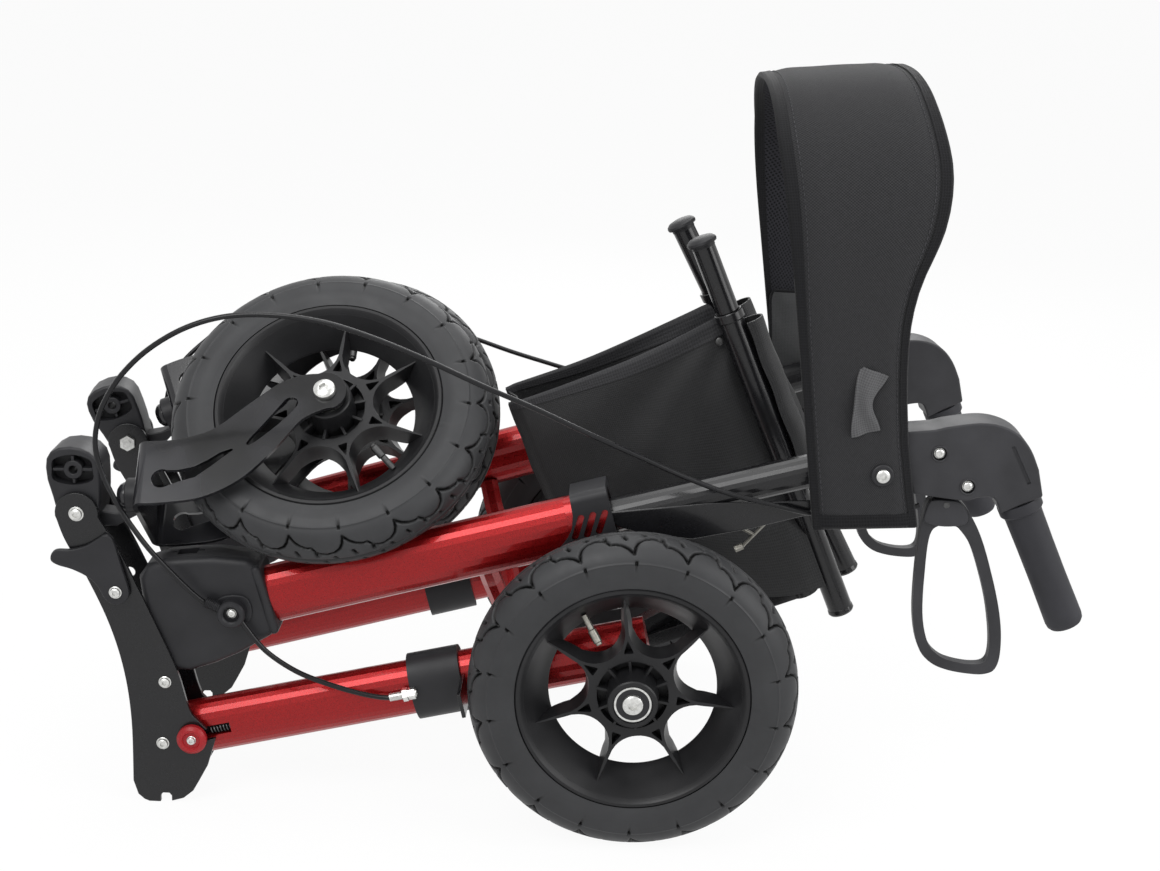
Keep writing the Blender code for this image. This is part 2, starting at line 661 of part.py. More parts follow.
def leg_clamp():
    """The moulded clamp round the rear leg that carries the brake."""
    high = TUBE_HALF_HEIGHT - 1.0
    body = oval_bar(CLAMP_LENGTH, high + CLAMP_WALL, TUBE_HALF_WIDTH + CLAMP_WALL)
    bore = oval_bar(CLAMP_LENGTH + 2.0, high + GAP, TUBE_HALF_WIDTH + GAP)
    bore.data.transform(Matrix.Translation((-MM, 0.0, 0.0)))
    body = cut(body, bore)
    return aim(body, *on_leg(CLAMP_ALONG), LEG_SLOPE)


def brake_shoe():
    """The brake shoe between the clamp and the rear tyre's tread."""
    start = CLAMP_ALONG + CLAMP_LENGTH + GAP
    outer = TUBE_HALF_WIDTH + CLAMP_WALL
    shoe = block((0.0, -outer - 36.0, -11.0), (3.0, -TUBE_HALF_WIDTH - 1.0, 9.0))
    return aim(shoe, *on_leg(start), LEG_SLOPE)


def axle(inner, outer, head=AXLE_HEAD):
    """An axle along Y with a round head at its -Y end and a nut at the other."""
    shank = rod((0, -outer - 1.0, 0), (0, inner + 1.0, 0), AXLE_RADIUS, 16)
    cap = rod((0, -outer, 0), (0, -outer - head, 0), AXLE_HEAD_RADIUS, 18)
    nut = rod((0, inner, 0), (0, inner + head, 0), AXLE_HEAD_RADIUS, 6)
    return union(shank, cap, nut)


def caster_head():
    """The folding head: a block at its pivot and a sleeve round the caster stem."""
    half = PLATE_INNER_FACE - GAP
    outline = [*arc((0.0, 0.0), 16.5, 200.0, 340.0, 8), (19.0, 25.0), (19.0, 38.0), (13.0, 48.0),
               (-2.0, 53.0), (-18.0, 49.0), (-23.0, 40.0), (-21.0, 20.0)]
    body = prism(outline, -half, half, [circle((0.0, 0.0), HEAD_BOLT_RADIUS + GAP)])
    pocket = block((-15.0, -half - 1.0, 23.0), (12.0, -half + 12.0, 44.0))
    ring = rod((-1.5, -half, 34.5), (-1.5, -half + 14.0, 34.5), 7.5, 18)
    hole = rod((-1.5, -half - 1.0, 34.5), (-1.5, half + 1.0, 34.5), 3.4, 12)
    body = cut(union(cut(body, pocket), ring), hole)
    back = CROWN_FORWARD - SLEEVE_LENGTH
    web = prism([(14.0, 24.0), (back + 1.0, 22.0), (back + 4.0, 14.0), (CROWN_FORWARD - 2.0, 14.0),
                 (CROWN_FORWARD - 2.0, 34.0), (back, 38.0), (14.0, 38.0)], -9.0, 9.0)
    crown = Vector((CROWN_FORWARD, 0.0, CROWN_RISE))
    stem = Vector((math.cos(math.radians(STEM_SLOPE)), 0.0, math.sin(math.radians(STEM_SLOPE))))
    sleeve = rod(crown - stem * SLEEVE_LENGTH, crown - stem * GAP, SLEEVE_RADIUS, 24)
    bore = rod(crown - stem * (SLEEVE_LENGTH + 12.0), crown + stem * 2.0, CASTER_PIN_RADIUS + GAP, 16)
    room = rod(crown - stem * (SLEEVE_LENGTH + 14.0), crown - stem * (SLEEVE_LENGTH), DOME_RADIUS + 1.0, 20)
    return cut(union(body, web, sleeve), bore, room)


def fork_outline():
    """The side outline of the caster fork: along the stem and across towards the trail."""
    end = (CROWN_TO_AXLE, TRAIL)
    tip = arc(end, FORK_END_RADIUS, -62.0, 110.0, 10)
    return [(0.0, -CROWN_HALF_WIDTH), (24.0, -CROWN_HALF_WIDTH), (54.0, -23.0), (82.0, -9.0),
            (106.0, 15.0), (128.0, 43.0), *tip, (108.0, 76.0), (84.0, 57.0), (58.0, 36.0),
            (30.0, 28.0), (0.0, CROWN_HALF_WIDTH)]


def caster_fork():
    """The stamped fork with its two blades, crown and stem."""
    outer = FORK_HALF_GAP + FORK_PLATE
    keyhole = [*arc((22.0, -6.0), 8.0, 60.0, 300.0, 8), (48.0, -5.0), (70.0, 12.0), (76.0, 18.0), (66.0, 16.0),
               (46.0, 4.0)]
    slot = [(86.0, 24.0), (90.0, 22.0), (116.0, 45.0), (124.0, 56.0), (122.0, 62.0), (112.0, 60.0), (98.0, 40.0)]
    axle_hole = circle((CROWN_TO_AXLE, TRAIL), AXLE_RADIUS + GAP, 16)
    body = prism(fork_outline(), -outer, outer, [keyhole, slot, axle_hole])
    inside = block((FORK_PLATE, -FORK_HALF_GAP, -60.0), (240.0, FORK_HALF_GAP, 120.0))
    body = cut(body, inside)
    pin = rod((2.0, 0, 0), (-SLEEVE_LENGTH - 2.0, 0, 0), CASTER_PIN_RADIUS, 16)
    dome = rod((-SLEEVE_LENGTH - GAP, 0, 0), (-SLEEVE_LENGTH - DOME_LENGTH, 0, 0), DOME_RADIUS, 20, 6.0)
    return union(body, pin, dome)


def latch_lever():
    """The wing lever on the outer head plate that holds the unfolded caster head."""
    outline = [(-451.0, 211.0), (-447.0, 216.0), (-436.0, 216.5), (-424.0, 220.0), (-409.0, 230.0),
               (-400.0, 222.0), *arc((LATCH_U, LATCH_Z), 11.0, 20.0, -160.0, 6), (-421.0, 199.0), (-436.0, 209.0)]
    face = PLATE_INNER_FACE + PLATE + GAP
    hole = circle((LATCH_U, LATCH_Z), HEAD_BOLT_RADIUS + GAP)
    return prism(outline, -face - 5.0, -face, [hole])


def brace_matrix(side, angle):
    """The frame of a brace arm: its length along +X, its pivot axis along +Z."""
    turn = math.radians(USE_UP)
    up = Vector((math.cos(turn), 0.0, math.sin(turn)))
    back = Vector((math.sin(turn), 0.0, -math.cos(turn)))
    lean = math.radians(angle) * (1.0 if side == LEFT else -1.0)
    along_arm = up * math.cos(lean) + Vector((0.0, 1.0, 0.0)) * math.sin(lean)
    across = back.cross(along_arm)
    return Matrix((along_arm, across, back)).transposed().to_4x4()


def rail_point(side, distance):
    """A point on a seat rail at a distance below the place where the two rails cross in the side view."""
    turn = math.radians(USE_UP + RAIL_LEAN * side)
    return (RAIL_CROSS_U + distance * math.sin(turn), side * RAIL_SPREAD,
            RAIL_CROSS_Z - distance * math.cos(turn))


def arm_top(side):
    """How far up the round end of a brace arm is centred, just under the seat rail across from it."""
    rail = -side
    turn = math.radians(USE_UP)
    middle = ARM_BACK[side] + ARM_THICK / 2
    start = rail_point(rail, 0.0)
    up = start[0] * math.cos(turn) + start[2] * math.sin(turn)
    back = start[0] * math.sin(turn) - start[2] * math.cos(turn)
    slope = math.tan(math.radians(RAIL_LEAN * rail))
    run = middle - back
    slack = abs(slope) * ARM_THICK / 2
    clear = (RAIL_RADIUS + GAP) / math.cos(math.radians(RAIL_LEAN)) + ARM_EYE_RADIUS + slack
    return up + slope * run - clear


def arm_reach(side):
    """The length of a brace arm between the centres of its ends."""
    return math.hypot(arm_top(side) - ARM_BASE_UP, ARM_BASE_SPREAD + RAIL_SPREAD)


def arm_lean(side):
    """The lean of a brace arm from the upright direction when folded."""
    return math.degrees(math.atan2(ARM_BASE_SPREAD + RAIL_SPREAD, arm_top(side) - ARM_BASE_UP))


def brace_arm(side):
    """A flat brace arm with a round end under the rail, modelled along +X from its pivot."""
    reach = arm_reach(side)
    half = ARM_HALF_WIDTH
    outline = [*arc((0.0, 0.0), ARM_EYE_RADIUS, 50.0, 310.0, 12), (20.0, -half), (reach - 20.0, -half),
               *arc((reach, 0.0), ARM_EYE_RADIUS, -130.0, 130.0, 12), (reach - 20.0, half), (20.0, half)]
    body = flat_curve(outline, [circle((0.0, 0.0), ARM_PIN_RADIUS + GAP)], ARM_THICK / 2)
    body.data.transform(Matrix.Translation((0.0, 0.0, ARM_THICK / 2 * MM)))
    return body


def bag_outline(inset):
    """The side outline of the folded bag in world X and Z, drawn in by an inset."""
    return [(-99.0 + inset, 320.0 - inset * 0.2), (-76.0 + inset, 268.0), (-60.0 + inset, 229.0 + inset),
            (40.0, 186.0 + inset), (135.0 - inset * 0.4, 180.0 + inset), (158.5 - inset, 190.0 + inset),
            (66.7 - inset, 397.0 - inset * 0.4)]


def seat_bag():
    """The folded bag that hangs in front of the seat rails, open at its top edge."""
    body = prism(bag_outline(0.0), -BAG_HALF, BAG_HALF)
    hollow = bag_outline(BAG_WALL * 2)
    rise = 20.0
    hollow[0] = (hollow[0][0] - rise * 0.4, hollow[0][1] + rise)
    hollow[-1] = (hollow[-1][0] - rise * 0.4, hollow[-1][1] + rise)
    room = prism(hollow, -BAG_HALF + BAG_WALL, BAG_HALF - BAG_WALL)
    return cut(body, room)


def strap_section(share):
    """One line across the backrest strap at a share of its way from the left to the right leg."""
    straight = 0.22
    outer = STRAP_SPREAD
    if share < straight or share > 1.0 - straight:
        run = min(share, 1.0 - share) / straight
        z = STRAP_FOOT + (STRAP_SHOULDER - STRAP_FOOT) * run
        y = outer
    else:
        angle = math.pi * (share - straight) / (1.0 - 2.0 * straight)
        z = STRAP_SHOULDER + (STRAP_CREST - STRAP_SHOULDER) * math.sin(angle) ** 0.75
        y = outer * abs(math.cos(angle)) ** 0.8
    side = -1.0 if share < 0.5 else 1.0
    rise = (z - STRAP_FOOT) / (STRAP_CREST - STRAP_FOOT)
    far = min(max((share - 0.35) / 0.3, 0.0), 1.0)
    left_edge = 141.0 - 48.0 * rise + 18.0 * far
    right_edge = 220.0 - 14.0 * math.sin(math.pi * min(rise * 1.6, 1.0))
    right_edge += 10.0 * math.exp(-((rise - 0.78) / 0.12) ** 2) - 3.0 * max(rise - 0.8, 0.0) / 0.2
    drop = 12.0 * far * rise
    return (left_edge, side * y, z - drop), (right_edge, side * y, z + 4.0)


def backrest():
    """The padded backrest strap: a wide band from one upper tube over to the other."""
    shape = bmesh.new()
    previous = None
    for i in range(27):
        pair = [shape.verts.new(Vector(p) * MM) for p in strap_section(i / 26)]
        if previous:
            shape.faces.new((previous[0], previous[1], pair[1], pair[0]))
        previous = pair
    mesh = bpy.data.meshes.new("strap")
    shape.to_mesh(mesh)
    shape.free()
    piece = link("strap", mesh)
    wall = piece.modifiers.new("thickness", "SOLIDIFY")
    wall.thickness = STRAP_THICK * MM
    wall.offset = 0.0
    wall.use_even_offset = True
    return evaluated(piece)


LOWER_CABLE = [(-366, -30, 213), (-332, -25, 177), (-309, -24, 172), (-298, -24, 155), (-283, -24, 137),
               (-260, -23, 121), (-235, -22.5, 111), (-209, -22.5, 104), (-181, -22.5, 102), (-166, -22.5, 104)]
CABLE_ROUTES = {
    LEFT: [(LEVER_U - 22, -11, LEVER_Z), (206, -14, 273), (187, -16, 271), (163, -17, 270), (139, -18, 271),
           (107, -21, 278),
           (74, -23, 286), (39, -26, 299), (9, -28, 312), (-33, -30, 330), (-76, -31, 349), (-118, -32, 366),
           (-160, -32, 384), (-200, -32, 399), (-236, -32, 409), (-272, -32, 413), (-308, -32, 411),
           (-340, -32, 401), (-369, -32, 383), (-391, -32, 361), (-405, -32, 338), (-411, -32, 319),
           (-412, -32, 301), (-407, -32, 281), (-398, -32, 261), (-385, -32, 239), *LOWER_CABLE],
    RIGHT: [(LEVER_U - 22, -11, LEVER_Z), (206, -14, 273), (187, -16, 271), (163, -18, 270), (139, -20, 271),
            (107, -22, 275),
            (74, -24, 281), (39, -27, 287), (9, -30, 293), (-33, -34, 302), (-61, -38, 309), (-92, -44, 317),
            (-122, -50, 326), (-150, -55, 334), (-177, -58, 342), (-204, -60, 348), (-231, -60, 352),
            (-258, -60, 354), (-285, -59, 353), (-309, -56, 350), (-330, -52, 345), (-352, -48, 335),
            (-371, -44, 321), (-388, -40, 305), (-399, -37, 288), (-404, -34, 268), (-402, -33, 250),
            (-393, -32, 235), (-380, -31, 223), *LOWER_CABLE],
}


def wheel(name, parent, place, turn):
    """A tyre and a rim on one axle."""
    for part, mesh, finish in (("tyre", tyre_mesh(), RUBBER), ("rim", rim_mesh(), BLACK_PLASTIC)):
        label = name.split("_")
        piece = finish_piece(f"{label[0]}_{part}_{label[1]}", mesh, finish, parent=parent)
        piece.matrix_basis = Matrix.Translation(Vector(place) * MM) @ turn


def build_side(side):
    """All the pieces of one side frame."""
    tag = "left" if side == LEFT else "right"
    mirror = side == RIGHT
    toe = Matrix.Rotation(math.radians(TOE_ANGLE * side), 4, "Z")
    frame = empty(f"side_frame_{tag}", (PLAN_SHIFT, side * HALF_GAP, 0.0), toe, None)

    def add(name, piece, finish, pivot=(0.0, 0.0, 0.0)):
        return finish_piece(f"{name}_{tag}", piece, finish, pivot, frame, mirror)

    inner = PLATE_INNER_FACE
    outer = PLATE_INNER_FACE + PLATE
    add("plate_outer", head_plate(-outer, -inner), BLACK_STEEL)
    add("plate_inner", head_plate(inner, outer), BLACK_STEEL)
    add("frame_housing", housing(), BLACK_PLASTIC)
    add("main_tube", main_tube(side), RED_PAINT)
    add("saddle_collar", saddle_collar(), BLACK_PLASTIC)
    add("upper_tube", upper_tube(), BLACK_STEEL)
    face = outer + GAP
    add("head_pivot_bolt", through_bolt(HEAD_U, HEAD_Z, face, face), ZINC)
    add("leg_pivot_bolt", through_bolt(LEG_U, LEG_Z, face, face), ZINC)
    add("latch_lever", latch_lever(), BLACK_PLASTIC, (LATCH_U, 0.0, LATCH_Z))

    main_u, main_z = on_main(UPPER_END)
    add("handle_body", handle_body(), BLACK_PLASTIC, (main_u, 0.0, main_z))
    add("grip", grip(), RUBBER, (GRIP_U, 0.0, GRIP_Z))
    add("brake_lever", brake_lever(), BLACK_STEEL, (LEVER_U, 0.0, LEVER_Z))

    leg_pivot = (LEG_U, 0.0, LEG_Z)
    add("rear_leg", rear_leg(), RED_PAINT, leg_pivot)
    knob_u, knob_z = on_leg(KNOB_ALONG)
    add("release_knob", release_knob(), RED_KNOB, (knob_u, 0.0, knob_z))
    add("leg_clamp", leg_clamp(), BLACK_PLASTIC, leg_pivot)
    add("brake_shoe", brake_shoe(), BLACK_STEEL, (*on_leg(CLAMP_ALONG)[:1], 0.0, on_leg(CLAMP_ALONG)[1]))
    axle_u, axle_z = on_leg(AXLE_ALONG, -AXLE_DROP)
    rear_axle = axle(TUBE_HALF_WIDTH + GAP, WHEEL_OFFSET + HUB_HALF_WIDTH + GAP)
    rear_axle.data.transform(Matrix.Translation(Vector((axle_u, 0.0, axle_z)) * MM))
    add("rear_axle", rear_axle, ZINC, (axle_u, 0.0, axle_z))
    wheel(f"rear_{tag}", frame, (axle_u, side * WHEEL_OFFSET, axle_z), Matrix.Identity(4))

    turn = Matrix.Rotation(-math.radians(HEAD_TURN[side]), 4, "Y")
    head = empty(f"head_{tag}_axis", (HEAD_U, 0.0, HEAD_Z), turn, frame)
    finish_piece(f"caster_head_{tag}", caster_head(), BLACK_PLASTIC, parent=head, mirror=mirror)
    lean = Matrix.Rotation(-math.radians(STEM_SLOPE), 4, "Y") @ Matrix.Rotation(math.radians(SWIVEL[side]), 4, "X")
    swivel = empty(f"swivel_{tag}_axis", (CROWN_FORWARD, 0.0, CROWN_RISE), lean, head)
    finish_piece(f"caster_fork_{tag}", caster_fork(), BLACK_STEEL, parent=swivel)
    place = (CROWN_TO_AXLE, 0.0, TRAIL)
    outer_face = FORK_HALF_GAP + FORK_PLATE + GAP
    front_axle = finish_piece(f"front_axle_{tag}", axle(outer_face, outer_face), ZINC, parent=swivel)
    front_axle.location = Vector(place) * MM
    wheel(f"front_{tag}", swivel, place, Matrix.Identity(4))

    add("brake_cable", wire(CABLE_ROUTES[side], CABLE_RADIUS), RUBBER)


def build_middle():
    """The cross brace, the seat rails, the bag and the backrest."""
    shift = Matrix.Translation((PLAN_SHIFT * MM, 0.0, 0.0))
    turn = math.radians(USE_UP)
    for side, tag in ((LEFT, "left"), (RIGHT, "right")):
        arm = finish_piece(f"brace_arm_{tag}", brace_arm(side), BLACK_STEEL)
        back = ARM_BACK[side]
        base = Vector((ARM_BASE_UP * math.cos(turn) + back * math.sin(turn), side * ARM_BASE_SPREAD,
                       ARM_BASE_UP * math.sin(turn) - back * math.cos(turn))) * MM
        arm.matrix_world = shift @ Matrix.Translation(base) @ brace_matrix(side, arm_lean(side))
        tube = rod(rail_point(side, RAIL_RING), rail_point(side, RAIL_BOTTOM), RAIL_RADIUS, 20)
        tube.data.transform(shift)
        finish_piece(f"seat_rail_{tag}", tube, BLACK_STEEL)
        thin = rod(rail_point(side, RAIL_TOP + RAIL_CAP - 1.0), rail_point(side, RAIL_RING - GAP), RAIL_THIN_RADIUS, 20)
        cap = rod(rail_point(side, RAIL_TOP), rail_point(side, RAIL_TOP + RAIL_CAP), RAIL_CAP_RADIUS, 20)
        end = union(thin, cap)
        end.data.transform(shift)
        finish_piece(f"rail_end_{tag}", end, BLACK_STEEL)
    bag = seat_bag()
    bag.data.transform(shift)
    finish_piece("seat_bag", bag, FABRIC)
    strap = backrest()
    strap.data.transform(shift)
    finish_piece("backrest", strap, FABRIC)


build_side(LEFT)
build_side(RIGHT)
build_middle()
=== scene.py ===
"""Looks of a folded outdoor rollator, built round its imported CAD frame.

Each sub-assembly is a class. Its sizes are dataclass fields in millimetres, in the frame of
one side of the rollator: u along the side frame from the head plates to the grips, inward
across it, z up.
"""

import json
import logging
import math
from dataclasses import dataclass, field
from enum import Enum
from typing import Callable, Iterable, Sequence

import bmesh
import bpy
import numpy as np
from mathutils import Matrix, Vector, noise

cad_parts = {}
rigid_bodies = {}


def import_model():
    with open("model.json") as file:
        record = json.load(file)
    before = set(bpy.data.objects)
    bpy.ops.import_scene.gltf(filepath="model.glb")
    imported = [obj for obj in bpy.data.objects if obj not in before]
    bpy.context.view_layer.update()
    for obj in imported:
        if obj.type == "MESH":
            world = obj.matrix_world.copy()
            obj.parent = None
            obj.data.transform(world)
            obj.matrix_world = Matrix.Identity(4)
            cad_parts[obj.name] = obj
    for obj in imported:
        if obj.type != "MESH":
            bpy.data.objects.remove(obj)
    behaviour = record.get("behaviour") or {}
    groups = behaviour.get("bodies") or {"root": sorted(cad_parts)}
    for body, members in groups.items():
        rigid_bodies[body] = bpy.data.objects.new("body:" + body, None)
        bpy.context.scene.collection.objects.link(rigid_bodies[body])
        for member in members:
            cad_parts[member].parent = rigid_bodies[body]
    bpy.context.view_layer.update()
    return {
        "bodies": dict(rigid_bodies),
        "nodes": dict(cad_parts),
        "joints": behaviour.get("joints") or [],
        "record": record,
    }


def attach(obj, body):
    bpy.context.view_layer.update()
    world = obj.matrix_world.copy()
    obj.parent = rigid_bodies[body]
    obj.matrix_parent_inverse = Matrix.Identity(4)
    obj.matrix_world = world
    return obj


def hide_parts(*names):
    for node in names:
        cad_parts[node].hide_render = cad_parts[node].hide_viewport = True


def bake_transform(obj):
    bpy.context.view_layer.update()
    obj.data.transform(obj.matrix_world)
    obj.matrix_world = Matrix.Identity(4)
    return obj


LOG = logging.getLogger("rollator")
MM = 0.001
PHOTO_WIDTH = 1160
FOCAL_PIXELS = 1897.738
SENSOR_WIDTH = 36.0
Point2 = tuple[float, float]
Point3 = tuple[float, float, float]


class Side(Enum):
    """The two side frames; the value is the sign of world Y."""

    LEFT = -1
    RIGHT = 1

    @property
    def tag(self) -> str:
        """The word that names of this side end with."""
        return self.name.lower()

    @property
    def index(self) -> int:
        """Its place in a pair of values, left before right."""
        return (self.value + 1) // 2


class Edge(Enum):
    """How much an edge of a hard piece is softened, in millimetres."""

    CRISP = 0.35
    STAMPED = 0.9
    MOULDED = 1.6


@dataclass(frozen=True)
class Layout:
    """Places that several sub-assemblies share; slopes, turns and the toe-out are in degrees."""

    half_gap: float = 121.8
    toe: float = 3.16
    plan_shift: float = 51.935
    head: Point2 = (-431.7, 245.1)
    leg: Point2 = (-367.9, 52.4)
    latch: Point2 = (-401.4, 183.1)
    main: Point2 = (-282.5, 177.5)
    main_slope: float = 16.2
    leg_slope: float = 14.0
    axle_along: float = 384.0
    wheel_offset: float = 50.0
    tyre_radius: float = 130.0
    stem_slope: float = 2.3
    crown_forward: float = 49.7
    crown_rise: float = 8.9
    crown_to_axle: float = 144.5
    trail: float = 68.0
    head_turn: tuple[float, float] = (1.9, 20)
    swivel: tuple[float, float] = (-45, 144)

    def middle_matrix(self) -> Matrix:
        """The matrix from the middle pieces' millimetres to the world in metres."""
        return Matrix.Translation((self.plan_shift * MM, 0.0, 0.0)) @ Matrix.Scale(MM, 4)

    def side_matrix(self, side: Side, mirrored: bool = True) -> Matrix:
        """The matrix from side coordinates in millimetres to the world in metres.

        Args:
            side: Which side frame.
            mirrored: Whether the second coordinate runs inward on both sides.

        Returns:
            A 4 x 4 matrix.
        """
        flip = -side.value if mirrored else 1
        move = Matrix.Translation((self.plan_shift * MM, side.value * self.half_gap * MM, 0.0))
        turn = Matrix.Rotation(math.radians(self.toe * side.value), 4, "Z")
        return move @ turn @ Matrix.Diagonal((MM, MM * flip, MM, 1.0))

    def line(self, start: Point2, slope: float, distance: float, rise: float = 0.0) -> Point2:
        """A point at a distance along a sloping line and a rise square to it."""
        turn = math.radians(slope)
        return (start[0] + distance * math.cos(turn) - rise * math.sin(turn),
                start[1] + distance * math.sin(turn) + rise * math.cos(turn))

    def on_main(self, distance: float, rise: float = 0.0) -> Point2:
        """A point on the line of the main tube."""
        return self.line(self.main, self.main_slope, distance, rise)

    def on_leg(self, distance: float, rise: float = 0.0) -> Point2:
        """A point on the line of the rear leg."""
        return self.line(self.leg, self.leg_slope, distance, rise)

    def rear_axle(self) -> Point2:
        """The centre of the rear axle."""
        turn = math.radians(self.leg_slope)
        drop = (self.leg[1] + self.axle_along * math.sin(turn) - self.tyre_radius) / math.cos(turn)
        return self.on_leg(self.axle_along, -drop)

    def head_matrix(self, side: Side) -> Matrix:
        """The matrix of a caster head, unmirrored, from millimetres to the world in metres."""
        turn = self.head_turn[side.index]
        place = Matrix.Translation((self.head[0], 0.0, self.head[1]))
        return self.side_matrix(side, False) @ place @ Matrix.Rotation(-math.radians(turn), 4, "Y")

    def fork_matrix(self, side: Side) -> Matrix:
        """The matrix of a caster fork: the stem along +X, the trail along +Z."""
        swivel = self.swivel[side.index]
        place = Matrix.Translation((self.crown_forward, 0.0, self.crown_rise))
        lean = Matrix.Rotation(-math.radians(self.stem_slope), 4, "Y")
        return self.head_matrix(side) @ place @ lean @ Matrix.Rotation(math.radians(swivel), 4, "X")


LAYOUT = Layout()


# Node graphs and finishes


class Graph:
    """A thin wrapper that builds the node tree of a material or a world."""

    def __init__(self, owner: bpy.types.ID) -> None:
        """Start on the owner's own nodes."""
        owner.use_nodes = True
        self.owner = owner
        self.tree = owner.node_tree
        self.shader = self.tree.nodes.get("Principled BSDF")

    def node(self, kind: str, **values: object) -> bpy.types.Node:
        """A new node with its properties set by name."""
        made = self.tree.nodes.new(kind)
        for key, value in values.items():
            setattr(made, key, value)
        return made

    def wire(self, source: bpy.types.NodeSocket, target: bpy.types.NodeSocket) -> None:
        """Join two sockets."""
        self.tree.links.new(source, target)

    def coordinates(self, uv: bool = False) -> bpy.types.NodeSocket:
        """The object coordinates, or the piece's own UV map."""
        return self.node("ShaderNodeTexCoord").outputs["UV" if uv else "Object"]

    def stretched(self, source: bpy.types.NodeSocket, scale: Point3, turn: float = 0.0) -> bpy.types.NodeSocket:
        """Coordinates scaled by axis and turned about Z."""
        mapping = self.node("ShaderNodeMapping")
        mapping.inputs["Scale"].default_value = scale
        mapping.inputs["Rotation"].default_value = (0.0, 0.0, math.radians(turn))
        self.wire(source, mapping.inputs["Vector"])
        return mapping.outputs["Vector"]

    def noise(self, source: bpy.types.NodeSocket, scale: float, detail: float = 2.0,
              roughness: float = 0.5) -> bpy.types.NodeSocket:
        """A noise value over the surface."""
        made = self.node("ShaderNodeTexNoise")
        made.inputs["Scale"].default_value = scale
        made.inputs["Detail"].default_value = detail
        made.inputs["Roughness"].default_value = roughness
        self.wire(source, made.inputs["Vector"])
        return made.outputs["Fac"]

    def wave(self, source: bpy.types.NodeSocket, scale: float, direction: str) -> bpy.types.NodeSocket:
        """A banded wave value over the surface."""
        made = self.node("ShaderNodeTexWave", bands_direction=direction)
        made.inputs["Scale"].default_value = scale
        self.wire(source, made.inputs["Vector"])
        return made.outputs["Fac"]

    def math(self, operation: str, first: object, second: object) -> bpy.types.NodeSocket:
        """A math node on sockets or numbers."""
        made = self.node("ShaderNodeMath", operation=operation)
        for socket, value in zip(made.inputs, (first, second)):
            if isinstance(value, bpy.types.NodeSocket):
                self.wire(value, socket)
            else:
                socket.default_value = value
        return made.outputs[0]

    def paint(self, source: bpy.types.NodeSocket, low: float, high: float, dark: Point3, light: Point3) -> None:
        """Spread the base colour between two colours, over a range of a value."""
        made = self.node("ShaderNodeValToRGB")
        for element, place, colour in zip(made.color_ramp.elements, (low, high), (dark, light)):
            element.position = place
            element.color = (*colour, 1.0)
        self.wire(source, made.inputs["Fac"])
        self.wire(made.outputs["Color"], self.shader.inputs["Base Color"])

    def span(self, source: bpy.types.NodeSocket, low: float, high: float) -> bpy.types.NodeSocket:
        """A value of 0 to 1 spread over a new range."""
        made = self.node("ShaderNodeMapRange")
        made.inputs["To Min"].default_value = low
        made.inputs["To Max"].default_value = high
        self.wire(source, made.inputs["Value"])
        return made.outputs["Result"]

    def roughen(self, source: bpy.types.NodeSocket, low: float, high: float) -> None:
        """Spread the roughness over a range, by a value of 0 to 1."""
        self.wire(self.span(source, low, high), self.shader.inputs["Roughness"])

    def bump(self, height: bpy.types.NodeSocket, strength: float, distance: float) -> None:
        """Raise the surface by a height value, on top of any bump that is there."""
        made = self.node("ShaderNodeBump")
        made.inputs["Strength"].default_value = strength
        made.inputs["Distance"].default_value = distance
        self.wire(height, made.inputs["Height"])
        socket = self.shader.inputs["Normal"]
        if socket.is_linked:
            self.wire(socket.links[0].from_socket, made.inputs["Normal"])
        self.wire(made.outputs["Normal"], socket)

    def set(self, **values: object) -> None:
        """Set plain numbers and colours on the shader, by socket name with spaces as underscores."""
        for key, value in values.items():
            self.shader.inputs[key.replace("_", " ")].default_value = value


def shade(colour: Point3, share: float) -> Point3:
    """A colour made darker or lighter."""
    return tuple(c * share for c in colour)


@dataclass(frozen=True)
class Finish:
    """What every finish has: a name and the record's slot that it stands for."""

    name: str
    slot: str

    def build(self) -> bpy.types.Material:
        """Make the material."""
        graph = Graph(bpy.data.materials.new(self.name))
        self.draw(graph)
        return graph.owner

    def draw(self, graph: Graph) -> None:
        """Draw the finish's nodes."""
        raise NotImplementedError


@dataclass(frozen=True)
class Moulding(Finish):
    """Moulded plastic or rubber with a fine grain."""

    colour: Point3 = (0.016, 0.016, 0.018)
    roughness: float = 0.46
    grain: float = 1500.0
    grain_height: float = 0.00006
    variation: float = 0.25
    spread: float = 0.08

    def draw(self, graph: Graph) -> None:
        """Draw a cloudy colour and a fine grain."""
        place = graph.coordinates()
        graph.paint(graph.noise(place, 22.0, 4.0, 0.6), 0.3, 0.7, shade(self.colour, 1.0 - self.variation),
                    shade(self.colour, 1.0 + self.variation))
        graph.roughen(graph.noise(place, 60.0, 3.0), self.roughness - self.spread, self.roughness + self.spread)
        graph.bump(graph.noise(place, self.grain, 3.0, 0.6), 0.35, self.grain_height)
        graph.set(Specular_IOR_Level=0.28)


@dataclass(frozen=True)
class Enamel(Finish):
    """Glossy black powder coat with a trace of orange peel."""

    colour: Point3 = (0.006, 0.006, 0.007)
    roughness: float = 0.24
    streaks: float = 1.5
    streak_scale: float = 900.0
    coat: float = 0.22

    def draw(self, graph: Graph) -> None:
        """Draw pale streaking, uneven gloss and orange peel; large, strong streaking, as on the fork, is painted
        sheen.
        """
        place = graph.coordinates()
        # Pale streaking; at a large scale and strength, as on the fork, it is painted sheen.
        graph.paint(graph.noise(place, self.streak_scale, 2.0), 0.4, 0.75, shade(self.colour, 0.8),
                    shade(self.colour, self.streaks))
        graph.roughen(graph.noise(place, 35.0, 4.0, 0.65), self.roughness - 0.05, self.roughness + 0.12)
        graph.bump(graph.noise(place, 260.0, 2.0), 0.05, 0.00005)
        graph.set(Specular_IOR_Level=0.30, Coat_Weight=self.coat, Coat_Roughness=0.10)


